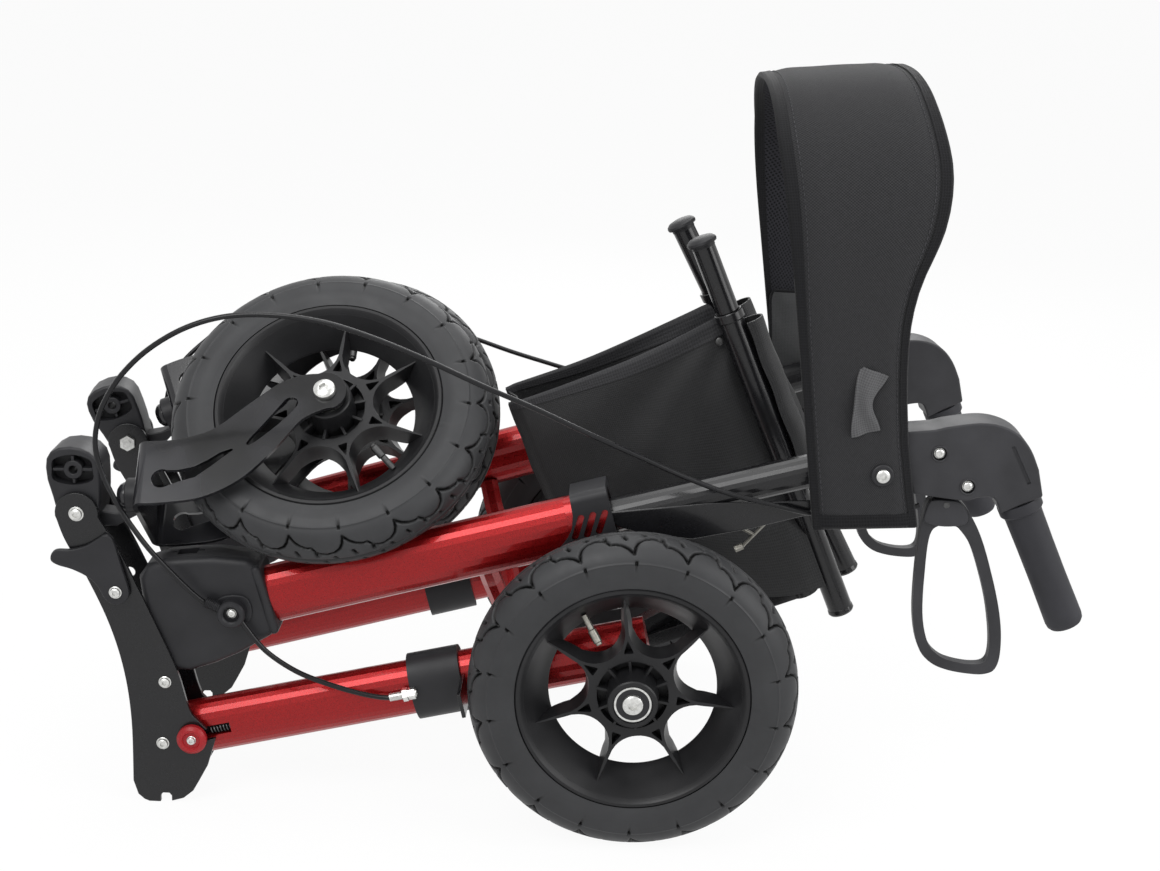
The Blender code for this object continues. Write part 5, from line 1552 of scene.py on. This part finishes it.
@dataclass
class Middle:
    """The cross brace and the two seat rails."""

    shop: Workshop
    use_up: float = 26.0
    rail_lean: float = 2.3
    rail_cross: Point2 = (96.7, 364)
    rail_spread: float = 30.0
    far_rise: float = 8.0

    def rail_point(self, side: Side, distance: float) -> Vector:
        """A point on a seat rail, by its distance below the place where the rails cross in the side view."""
        turn = math.radians(self.use_up + self.rail_lean * side.value)
        return Vector((self.rail_cross[0] + distance * math.sin(turn), side.value * self.rail_spread,
                       self.rail_cross[1] - distance * math.cos(turn)))

    def rail(self, side: Side) -> None:
        """A seat rail: a thin top with a domed cap, and the thick tube that it slides in."""
        body, tag, place = f"seat_rail_{side.tag}", side.tag, LAYOUT.middle_matrix()
        rise = self.far_rise if side is Side.RIGHT else 0.0
        top, ring, foot = (self.rail_point(side, at - rise) for at in (-109, -43, 240))
        thin = Form().turned([(6.5, 3), (9.5, 3), (9.5, 65.7), (6.5, 65.7)], top, ring, 48)
        self.shop.add(f"rail_top_{tag}", thin.mesh("rail_top"), place, body, ENAMEL, [f"rail_end_{tag}"])
        cap = Form().turned([(0, 0), (6, 0.2), (10, 1.2), (12.1, 3), (12.6, 4.6), (12.2, 6), (9.8, 6.6),
                             (9.8, 9), (0, 9)], top, ring, 48)
        self.shop.add(f"rail_cap_{tag}", cap.mesh("rail_cap"), place, body, BLACK_PLASTIC)
        tube = Form().turned([(9.7, 0.4), (11.4, 0), (12, 0.8), (12, 7.2), (11.4, 8), (10.6, 8.4),
                              (10.5, 20), (10.5, 278), (10.9, 278.6), (11.2, 281.4), (10.2, 283), (0, 283),
                              (0, 60), (9.7, 60)], ring, foot, 56)
        self.shop.add(f"rail_tube_{tag}", tube.mesh("rail_tube"), place, body, ENAMEL, [f"seat_rail_{tag}"])
        self.hem(side, body)

    def hem(self, side: Side, body: str) -> None:
        """The strip of the seat cloth that is sewn round a rail's back side."""
        top, foot = self.rail_point(side, -30.0), self.rail_point(side, 128.0)
        line = (foot - top).normalized()
        back = Vector((0, 1, 0)).cross(line) * (1.0 if line.z < 0 else -1.0)
        if back.x < 0.0:
            back = -back

        def place(across: float, along: float) -> Vector:
            """A point of the strip."""
            spot = top.lerp(foot, along)
            turn = (across - 0.5) * math.pi * 1.1
            fold = 0.5 * math.sin(along * 21.0 + across * 3.0)
            reach = 12.4 + 12.0 * math.cos(turn) + fold
            return spot + back * reach + Vector((0, 1, 0)) * 10.0 * math.sin(turn)

        width, length = 44.0, (foot - top).length
        mesh = cloth(surface(20, 60, place, (width, length)), 1.4)
        piece = self.shop.add(f"seat_hem_{side.tag}", mesh, LAYOUT.middle_matrix(), body, CLOTH)
        f"seat_rail_{side.tag}"

    def build(self) -> None:
        """Make the arms and rails."""
        for side in Side:
            self.shop.refine(f"brace_arm_{side.tag}", f"brace_arm_{side.tag}", ENAMEL, Edge.STAMPED)
            self.rail(side)


def cloth(mesh: bpy.types.Mesh, thickness: float) -> bpy.types.Mesh:
    """A sheet given its thickness, half to each side.

    Args:
        mesh: The sheet in millimetres.
        thickness: The cloth's thickness in millimetres.

    Returns:
        A closed mesh in millimetres.
    """
    holder = bpy.data.objects.new("cloth", mesh)
    wall = holder.modifiers.new("thickness", "SOLIDIFY")
    wall.thickness = thickness
    wall.offset = 0.0
    return evaluated(holder)


@dataclass
class Bag:
    """The folded cloth bag that hangs in front of the seat rails."""

    shop: Workshop
    half: float = 26.0
    front_top: Point2 = (-97, 317)
    rail_top: Point2 = (77, 399)
    rail_foot: Point2 = (176, 171)
    front_foot: Point2 = (-61, 231)
    floor: tuple[Point2, ...] = ((-61, 231), (-12, 205), (40, 190), (100, 186), (148, 190))
    thick: float = 1.4
    panel_size: Point2 = (222, 168)
    gusset_size: Point2 = (52, 330)
    turn_under: float = 0.36
    bend: Bend = Bend("frame_right", (0, -0.030, 0), (0, 0.030, 0))

    def drape(self, across: float, down: float) -> tuple[float, float]:
        """The place in X and Z of a share of the way from the front to the rail and down from the top edge."""
        front = between([Vector(p) for p in (self.front_top, (-86, 291), (-76, 264), self.front_foot)], down)
        rail = Vector(self.rail_top).lerp(Vector(self.rail_foot), min(max(down, 0.0), 1.0))
        spot = front.lerp(rail, across)
        belly = math.sin(math.pi * min(max(across, 0.0), 1.0) ** 1.6)
        sag = -27.0 * belly * down - 5.0 * math.sin(math.pi * across) * (1.0 - down) ** 2
        return spot.x, spot.y + sag

    def crease(self, x: float, z: float) -> float:
        """The depth of the folds that fan down from the top of the rail."""
        dx, dz = self.rail_top[0] + 8.0 - x, self.rail_top[1] + 6.0 - z
        reach = math.hypot(dx, dz)
        angle = math.atan2(dz, dx)
        fade = ease(reach, 12.0, 60.0) * (1.0 - ease(reach, 150.0, 240.0))
        fan = 3.2 * math.sin(angle * 13.0 + 0.5 * math.sin(reach * 0.03)) * fade
        cloud = noise.noise(Vector((x * 0.018, z * 0.018, 3.0))) * 4.0
        return fan + cloud

    def panel(self, far: float, lift: float, name: str) -> bpy.types.Object:
        """One side panel of the bag.

        Args:
            far: -1 for the near panel and 1 for the far one.
            lift: How far its top edge is shifted towards the front and down.
            name: The piece's name.

        Returns:
            The piece.
        """
        def place(across: float, down: float) -> Vector:
            """A point of the panel."""
            x, z = self.drape(across, down)
            edge = math.sin(math.pi * across) * math.sin(math.pi * (0.12 + 0.76 * down))
            y = self.half + 3.4 * edge + self.crease(x, z) * (0.25 + 0.75 * edge) * 0.8
            y += 18.0 * ease(250.0 - z, 0.0, 45.0) * ease(across, 0.25, 0.6)
            tuck = ease(down, 0.93, 1.0) * 4.0 * (1.0 - ease(across, 0.3, 0.6)) + (1.0 - ease(across, 0.0, 0.05)) * 4.0
            tuck += ease(across, 0.93, 1.0) * 3.0
            x -= lift * (1.0 - down)
            z += lift * 0.4 * (1.0 - down) * (1.0 - across)
            return Vector((x, far * (y - tuck), z))

        width, length = self.panel_size
        mesh = cloth(surface(110, 80, place, (width, length)), self.thick)
        piece = self.shop.soft(name, mesh, "frame_left", CLOTH, ["seat_bag"] if far < 0 else [], self.bend)
        hem = self.hem(place, name + "_hem", far)
        return piece

    def hem(self, place: Callable[[float, float], Vector], name: str, far: float) -> bpy.types.Object:
        """The tape folded over the top edge of a panel."""
        def band(across: float, along: float) -> Vector:
            """A point of the tape, from one face over the edge to the other."""
            share = abs(across - 0.5) * 2.0
            spot = place(along, share * 0.058)
            side = 1.3 if across > 0.5 else -1.3
            lift = (1.0 - share) ** 2
            return spot + Vector((0.0, side * far * min(share * 6.0, 1.0), 1.1 * lift))

        line = [place(step / 40, 0.0) for step in range(41)]
        mesh = surface(18, 120, band, (20.0, length_of(line)))
        return self.shop.soft(name, cloth(mesh, 0.9), "frame_left", HEM_CLOTH, (), self.bend)

    def gusset(self) -> None:
        """The strip that closes the bag's front edge and its floor."""
        def place(across: float, along: float) -> Vector:
            """A point of the strip, from the front's top down and under to the rail's foot."""
            if along < self.turn_under:
                x, z = self.drape(0.0, along / self.turn_under)
            else:
                share = (along - self.turn_under) / (1.0 - self.turn_under)
                x, z = between([Vector(p) for p in self.floor], share)
            cloud = noise.noise(Vector((along * 6.0, across * 2.0, 1.0)))
            fold = 3.5 * math.cos((across - 0.5) * math.tau) + 2.0 * cloud
            inward = 4.0 + fold
            down_front = 1.0 - ease(along, 0.30, 0.42)
            return Vector((x + inward * down_front, (across - 0.5) * 2.0 * (self.half - 3.6),
                           z + inward * (1.0 - down_front)))

        width, length = self.gusset_size
        mesh = cloth(surface(26, 150, place, (width, length)), self.thick)
        piece = self.shop.soft("bag_gusset", mesh, "frame_left", CLOTH, (), self.bend)

    def build(self) -> None:
        """Make the bag."""
        self.panel(-1.0, 0.0, "bag_near")
        self.panel(1.0, 2.5, "bag_far")
        self.gusset()
        rivet = Form(cap_screw(3.4, 1.6)).shift(74.0, -30.5, 378.0)
        self.shop.add("bag_rivet", rivet.mesh("rivet"), LAYOUT.middle_matrix(), "seat_rail_left", SPRING_STEEL)


@dataclass
class Backrest:
    """The padded backrest strap, a wide band from one upper tube over to the other."""

    shop: Workshop
    spread: float = 157.5
    foot: float = 262.0
    shoulder: float = 440.0
    crest: float = 596.0
    straight: float = 0.22
    plump: float = 3.4
    rim: float = 1.5
    back_edge: tuple[Point2, ...] = (
        (0, 220), (0.1, 213.2), (0.2, 207.2), (0.3, 203.4), (0.36, 201.8), (0.42, 201), (0.47, 201.1),
        (0.51, 202.4), (0.55, 204.8), (0.59, 208.6), (0.63, 213.8), (0.66, 217.6), (0.69, 220.8), (0.73, 223.7),
        (0.765, 225.3), (0.80, 226), (0.835, 225.6), (0.87, 224), (0.91, 221.6), (0.95, 219.3), (1, 217.3))
    steps: int = 240
    skin_width: float = 200.0
    tape_width: float = 20.0
    lining_width: float = 88.0
    lining_seen: float = 84.0
    patch_size: Point2 = (37, 110)
    tab_size: Point2 = (22, 54)
    bolt: Point2 = (189.5, 308)
    bend: Bend = Bend("frame_right", (0, -0.125, 0), (0, 0.125, 0))

    def edges(self, share: float) -> tuple[Vector, Vector]:
        """The two edges of the strap at a share of its way from the left to the right leg."""
        straight = self.straight
        if share < straight or share > 1.0 - straight:
            run = min(share, 1.0 - share) / straight
            z, y = self.foot + (self.shoulder - self.foot) * run, self.spread
        else:
            angle = math.pi * (share - straight) / (1.0 - 2.0 * straight)
            z = self.shoulder + (self.crest - self.shoulder) * math.sin(angle) ** 0.75
            y = self.spread * abs(math.cos(angle)) ** 0.8
        side = -1.0 if share < 0.5 else 1.0
        rise = (z - self.foot) / (self.crest - self.foot)
        far = min(max((share - 0.35) / 0.3, 0.0), 1.0)
        left = 141.0 - 48.0 * rise + 14.0 * far
        right = float(np.interp(rise, *zip(*self.back_edge)))
        return Vector((left, side * y, z - 12.0 * far * rise)), Vector((right, side * y, z + 4.0))

    def line(self, steps: int) -> list[tuple[Vector, Vector, Vector]]:
        """The strap's two edges and its outward direction, evenly spaced along its length.

        Args:
            steps: How many even steps the length is split into.

        Returns:
            A list of left edge, right edge and outward direction.
        """
        pairs = [self.edges(step / 900) for step in range(901)]
        middle = [(a + b) / 2 for a, b in pairs]
        reach = [0.0]
        for a, b in zip(middle, middle[1:]):
            reach.append(reach[-1] + (b - a).length)
        marks = np.interp(np.linspace(0.0, reach[-1], steps + 1), reach, np.linspace(0.0, 1.0, 901))
        rows = [self.edges(float(mark)) for mark in marks]
        result = []
        for index, (left, right) in enumerate(rows):
            before, after = rows[max(index - 2, 0)], rows[min(index + 2, steps)]
            run = (after[0] + after[1] - before[0] - before[1]) / 2
            out = run.cross(right - left).normalized()
            toward = Vector((0.0, left.y, (left.z - 380.0) * 0.6))
            result.append((left, right, out if out.dot(toward) > 0.0 else -out))
        return result

    def crowned(self, across: float) -> float:
        """Half the padding's thickness at a share of the width."""
        edge = min(across, 1.0 - across) * 2.0
        return self.rim + self.plump * ease(edge, 0.02, 0.42)

    def sample(self, rows: Sequence[tuple[Vector, Vector, Vector]], across: float, along: float,
               lift: float) -> Vector:
        """A point of the strap at a height above its middle surface."""
        place = min(max(along, 0.0), 1.0) * (len(rows) - 1)
        index = min(int(place), len(rows) - 2)
        share = place - index
        left = rows[index][0].lerp(rows[index + 1][0], share)
        right = rows[index][1].lerp(rows[index + 1][1], share)
        out = rows[index][2].lerp(rows[index + 1][2], share).normalized()
        return left.lerp(right, across) + out * lift

    def ripple(self, across: float, along: float) -> float:
        """Shallow waves in the padding."""
        return 0.9 * noise.noise(Vector((across * 3.0, along * 14.0, 7.0)))

    def build(self) -> None:
        """Make the strap, its lining, bound edges, stitches and fixings."""
        rows = self.line(self.steps)
        length = length_of([(a + b) / 2 for a, b, _ in rows])

        def pad(around: float, along: float) -> Vector:
            """A point of the padding's skin, out along one face and back along the other."""
            outer = around < 0.5
            across = around * 2.0 if outer else (1.0 - around) * 2.0
            ends = ease(min(along, 1.0 - along), 0.0, 0.012)
            height = self.crowned(across) * (0.45 + 0.55 * ends) + self.ripple(across, along) * ease(
                min(across, 1.0 - across), 0.0, 0.2)
            return self.sample(rows, across, along, height if outer else -height * 0.8)

        form = Form(surface(64, self.steps, pad, (self.skin_width, length), True))
        bmesh.ops.holes_fill(form.bm, edges=form.bm.edges, sides=0)
        piece = self.shop.soft("strap_pad", form.shell("pad"), "frame_left", STRAP_CLOTH, ["backrest"], self.bend)

        def lining(across: float, along: float) -> Vector:
            """A point of the mesh lining on the inner face."""
            across = 0.05 + across * 0.9
            height = self.crowned(across) * 0.8 + 0.7 + self.ripple(across, along) * 0.8
            return self.sample(rows, across, 0.012 + along * 0.976, -height)

        inner = cloth(surface(30, self.steps, lining, (self.lining_seen, length)), 0.8)
        piece = self.shop.soft("strap_lining", inner, "frame_left", MESH_CLOTH, (), self.bend)
        self.binding(rows, length)
        self.stitches(rows)
        self.fixings()
        self.patches()

    def binding(self, rows: Sequence[tuple[Vector, Vector, Vector]], length: float) -> None:
        """The tape folded over both long edges and the two ends."""
        for name, edge in (("front", 0.0), ("back", 1.0)):
            def band(across: float, along: float) -> Vector:
                """A point of the tape."""
                share = abs(across - 0.5) * 2.0
                inset = 0.075 * share - 0.012
                spot = inset if edge == 0.0 else 1.0 - inset
                high = (self.crowned(min(max(spot, 0.0), 1.0)) + 0.9) * min(share * 5.0, 1.0)
                return self.sample(rows, spot, along, high if across < 0.5 else -high * 0.85)

            mesh = surface(20, self.steps, band, (self.tape_width, length))
            self.shop.soft(f"strap_binding_{name}", cloth(mesh, 0.9), "frame_left", BINDING, (), self.bend)
        for name, end in (("left", 0.0), ("right", 1.0)):
            def foot(across: float, along: float) -> Vector:
                """A point of the hem at a leg's foot."""
                share = abs(across - 0.5) * 2.0
                run = 0.0135 * share
                high = (self.crowned(0.02 + along * 0.96) * 0.75 + 1.0) * min(share * 5.0, 1.0)
                drop = (1.0 - share) ** 2
                spot = self.sample(rows, along, run if end == 0.0 else 1.0 - run, high if across < 0.5 else -high)
                return spot - Vector((0.0, 0.0, drop))

            mesh = surface(16, 60, foot, (self.tape_width, 80.0))
            self.shop.soft(f"strap_hem_{name}", cloth(mesh, 0.9), f"frame_{name}", BINDING)

    def stitches(self, rows: Sequence[tuple[Vector, Vector, Vector]]) -> None:
        """The rows of thread beside the bound edges."""
        form = Form()
        count = 190
        for across in (0.095, 0.905):
            for index in range(count):
                start, end = (index + 0.2) / count, (index + 0.8) / count
                lift = self.crowned(across) + 0.25
                ends = [self.sample(rows, across, at, lift + self.ripple(across, at) * 0.6) for at in (start, end)]
                form.rod(ends[0], ends[1], 0.42, 5)
        self.shop.soft("strap_stitches", form.mesh("stitches"), "frame_left", THREAD, (), self.bend)

    def fixings(self) -> None:
        """The bolts through the legs' feet, each a cap screw on a washer."""
        place, (u, z) = LAYOUT.middle_matrix(), self.bolt
        for side in Side:
            tag, out = side.tag, side.value
            face = out * (self.spread + 5.0)
            washer = Form().turned([(2, -1), (8.6, -1), (8.6, 1.4), (7.8, 2), (2, 2)],
                                   (u, face, z), (u, face + out, z), 40)
            self.shop.add(f"strap_washer_{tag}", washer.mesh("washer"), place, f"frame_{tag}", BLACK_PLASTIC)
            screw = Form(cap_screw(5.6, 3.4))
            if side is Side.RIGHT:
                screw.move(Matrix.Rotation(math.pi, 4, "Z"))
            screw.shift(u, face + out * 1.8, z)
            self.shop.add(f"strap_screw_{tag}", screw.mesh("screw"), place, f"frame_{tag}", ZINC)

    def patches(self) -> None:
        """The satin patch inside the right leg and the grey webbing tab on the left one."""
        def tab(across: float, along: float) -> Vector:
            """A point of the webbing tab, which comes out of a slit and is pulled up."""
            pinch = 1.0 - 0.35 * math.sin(math.pi * along) ** 2
            u = 174.0 + (across - 0.5) * 21.0 * pinch - 6.0 * math.sin(math.pi * along) + 3.0 * along
            z = 341.0 + 49.0 * along + 7.0 * (across - 0.5) * math.cos(math.pi * along)
            bulge = 3.4 * math.sin(math.pi * along) + 1.3 * math.sin(across * 8.0 + along * 5.0)
            return Vector((u, -self.spread - 5.4 - bulge, z))

        def patch(across: float, along: float) -> Vector:
            """A point of the satin patch on the inner face of the right leg, round at its top corners."""
            corner = max(0.0, 1.0 - along / 0.10)
            round_off = 1.0 - 0.16 * corner ** 2.2
            u = 158.0 + (across - 0.5) * 37.0 * round_off + 9.0 * along
            bulge = 1.5 * math.sin(math.pi * across) + 0.8 * noise.noise(Vector((across * 3.0, along * 6.0, 2.0)))
            return Vector((u, self.spread - 6.4 - bulge, 384.0 - 110.0 * along))

        width, length = self.patch_size
        mesh = cloth(surface(20, 60, patch, (width, length)), 1.0)
        piece = self.shop.soft("strap_patch", mesh, "frame_right", SATIN)
        rim = [patch(0.0, 1.0 - step / 24) for step in range(25)] + [patch(step / 10, 0.0) for step in range(1, 11)]
        rim += [patch(1.0, step / 24) for step in range(1, 25)]
        self.shop.soft("strap_patch_edge", pipe(rim, 1.3, 3), "frame_right", BINDING)
        width, length = self.tab_size
        piece = self.shop.soft("strap_tab", cloth(surface(16, 34, tab, (width, length)), 1.3), "frame_left", WEBBING)


@dataclass
class Cables:
    """The two brake cables, each from its lever to the clip and on to the adjuster."""

    shop: Workshop
    radius: float = 2.1
    split: int = 3
    lower: tuple[Point3, ...] = (
        (-366, -30, 213), (-332, -25, 177), (-309, -24, 172), (-298, -24, 155), (-283, -24, 137), (-260, -23, 121),
        (-235, -22.5, 111), (-209, -22.5, 104), (-188, -22.5, 101.2), (-172, -22.5, 103.6))

    def route(self, side: Side) -> list[Point3]:
        """The upper stretch of a cable in side coordinates, from its lever."""
        if side is Side.LEFT:
            return [(225, -11, 279), (206, -14, 273), (187, -16, 271), (163, -17, 270), (139, -18, 271),
                    (107, -21, 278), (74, -23, 286), (39, -26, 299), (9, -28, 312), (-33, -30, 330),
                    (-76, -31, 349), (-118, -32, 366), (-160, -32, 384), (-200, -32, 399), (-236, -32, 409),
                    (-272, -32, 413), (-308, -32, 411), (-340, -32, 401), (-369, -32, 383), (-391, -32, 361),
                    (-405, -32, 338), (-411, -32, 319), (-412, -32, 301), (-407, -32, 281), (-398, -32, 261),
                    (-385, -32, 239)]
        return [(225, -11, 279), (206, -14, 273), (187, -16, 271), (163, -18, 270), (139, -20, 271),
                (107, -22, 275), (74, -24, 281), (39, -27, 287), (9, -30, 293), (-33, -34, 302), (-61, -38, 309),
                (-92, -44, 317), (-122, -50, 326), (-150, -55, 334), (-177, -58, 342), (-204, -60, 348),
                (-231, -60, 352), (-258, -60, 354), (-285, -59, 353), (-309, -56, 350), (-330, -52, 345),
                (-352, -48, 335), (-371, -44, 321), (-388, -40, 305), (-399, -37, 288), (-404, -34, 268),
                (-402, -33, 250), (-393, -32, 235), (-380, -31, 223)]

    def build(self) -> None:
        """Make both cables."""
        for side in Side:
            tag, place = side.tag, LAYOUT.side_matrix(side)
            upper = [*self.route(side), *self.lower[:self.split]]
            lower = list(self.lower[self.split - 1:])
            self.cord(f"cable_{tag}", upper, place, tag, [f"brake_cable_{tag}"],
                      (110, -20, 275), (215, -12, 276), f"handle_{tag}")
            self.cord(f"cable_low_{tag}", lower, place, tag, [],
                      (-296, -24, 152), (-196, -22.5, 102), f"rear_leg_{tag}")

    def cord(self, name: str, points: Sequence[Point3], place: Matrix, tag: str, nodes: Sequence[str],
             start: Point3, end: Point3, other: str) -> None:
        """Make one stretch of cable.

        Args:
            name: The piece's name.
            points: Its route in side coordinates.
            place: The matrix from side coordinates to the world.
            tag: The side's word.
            nodes: CAD nodes that it replaces.
            start: A point in side coordinates, put in the bend record, which is not used to bend the cable.
            end: A second point in side coordinates, put in the bend record, which is not used to bend the cable.
            other: The body named in the bend record, which is not used.
        """
        line = rounded(points, 6)
        world = [place @ p for p in line]
        bend = Bend(other, tuple(place @ Vector(start)), tuple(place @ Vector(end)))
        piece = self.shop.add(name, pipe(line, self.radius, 4), place, f"frame_{tag}", SHEATH, nodes, 60.0, False,
                              bend)
        length = length_of(world)
        LOG.info("%s is %.3f m long", name, length)
        tuple(world[0])
        [tuple(p) for p in world]


# Room and camera


@dataclass(frozen=True)
class Studio:
    """A plain pale room, soft lamps and the photograph's camera."""

    eye: Point3 = (-107.66, -1538.06, 734.81)
    ahead: Point3 = (0.04495, 0.95888, -0.28021)
    right: Point3 = (0.99859, -0.03516, 0.03988)
    up: Point3 = (-0.02839, 0.28161, 0.95911)
    floor_colour: float = 0.95
    floor_white: float = 0.94
    surround: float = 0.38
    lamps: tuple[tuple[str, Point3, float, float], ...] = (
        ("key", (-0.9, -1.5, 1.9), 1.3, 30.0), ("fill", (1.7, -1, 1.2), 1.4, 22.0),
        ("top", (0.1, 0.3, 2.3), 1.8, 24.0), ("back", (0.3, 1.9, 1.3), 1.2, 12.0))

    def build(self) -> None:
        """Make the floor, world and lamps."""
        self.floor()
        self.world()
        for lamp in self.lamps:
            self.lamp(*lamp)
        bpy.context.scene.view_settings.view_transform = "Standard"

    def camera(self) -> None:
        """The camera, fitted to the photograph."""
        data = bpy.data.cameras.new("camera")
        data.sensor_width = SENSOR_WIDTH
        data.lens = FOCAL_PIXELS / PHOTO_WIDTH * SENSOR_WIDTH
        data.clip_start = 0.01
        holder = bpy.data.objects.new("camera", data)
        bpy.context.scene.collection.objects.link(holder)
        turn = Matrix((self.right, self.up, [-a for a in self.ahead])).transposed().to_4x4()
        place = Vector(self.eye) + Vector((LAYOUT.plan_shift, 0.0, 0.0))
        holder.matrix_world = Matrix.Translation(place * MM) @ turn
        bpy.context.scene.camera = holder

    def seen(self, graph: Graph) -> bpy.types.NodeSocket:
        """A value of 1 for rays that the camera, a gloss or a clear surface sends."""
        rays = graph.node("ShaderNodeLightPath").outputs
        total = rays["Is Camera Ray"]
        for name in ("Is Glossy Ray", "Is Transmission Ray"):
            total = graph.math("MAXIMUM", total, rays[name])
        return total

    def floor(self) -> None:
        """The pale floor, which keeps a soft shadow."""
        form = Form()
        bmesh.ops.create_grid(form.bm, x_segments=1, y_segments=1, size=30.0)
        mesh = form.mesh("floor")
        graph = Graph(bpy.data.materials.new("floor"))
        graph.set(Base_Color=(*[self.floor_colour] * 3, 1.0), Roughness=0.9, Specular_IOR_Level=0.0)
        glow = graph.node("ShaderNodeEmission")
        glow.inputs["Strength"].default_value = 1.0
        share = graph.math("MULTIPLY", self.seen(graph), self.floor_white)
        mix = graph.node("ShaderNodeMixShader")
        for socket, source in zip(mix.inputs, (share, graph.shader.outputs["BSDF"], glow.outputs["Emission"])):
            graph.wire(source, socket)
        graph.wire(mix.outputs["Shader"], graph.tree.nodes["Material Output"].inputs["Surface"])
        mesh.materials.append(graph.owner)
        holder = bpy.data.objects.new("floor", mesh)
        bpy.context.scene.collection.objects.link(holder)

    def world(self) -> None:
        """A soft white surround that the camera sees as white."""
        graph = Graph(bpy.data.worlds.new("studio"))
        bpy.context.scene.world = graph.owner
        background = graph.tree.nodes["Background"]
        background.inputs["Color"].default_value = (1, 1, 1, 1)
        graph.wire(graph.span(self.seen(graph), self.surround, 1.0), background.inputs["Strength"])

    def lamp(self, name: str, place: Point3, size: float, power: float) -> None:
        """A square soft lamp that faces the rollator.

        Args:
            name: The lamp's name.
            place: Its place in metres.
            size: Its side in metres.
            power: Its power in watts.
        """
        data = bpy.data.lights.new(name, "AREA")
        data.shape = "SQUARE"
        data.size = size
        data.energy = power
        holder = bpy.data.objects.new(name, data)
        bpy.context.scene.collection.objects.link(holder)
        aim = Vector((0, 0, 0.25)) - Vector(place)
        holder.matrix_world = Matrix.Translation(place) @ aim.to_track_quat("-Z", "Y").to_matrix().to_4x4()


def main() -> None:
    """Build the studio and every sub-assembly in order."""
    logging.basicConfig(level=logging.INFO, format="%(message)s")
    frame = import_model()
    shop = Workshop(frame)
    studio = Studio()
    studio.camera()
    Cables(shop).build()
    studio.build()
    Wheels(shop).build()
    for side in Side:
        for group in (HeadPlates, Housing, Tubes, RearLeg, Caster, Handle):
            group(shop, side).build()
    Middle(shop).build()
    Bag(shop).build()
    Backrest(shop).build()
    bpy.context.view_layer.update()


if __name__ == "__main__":
    main()
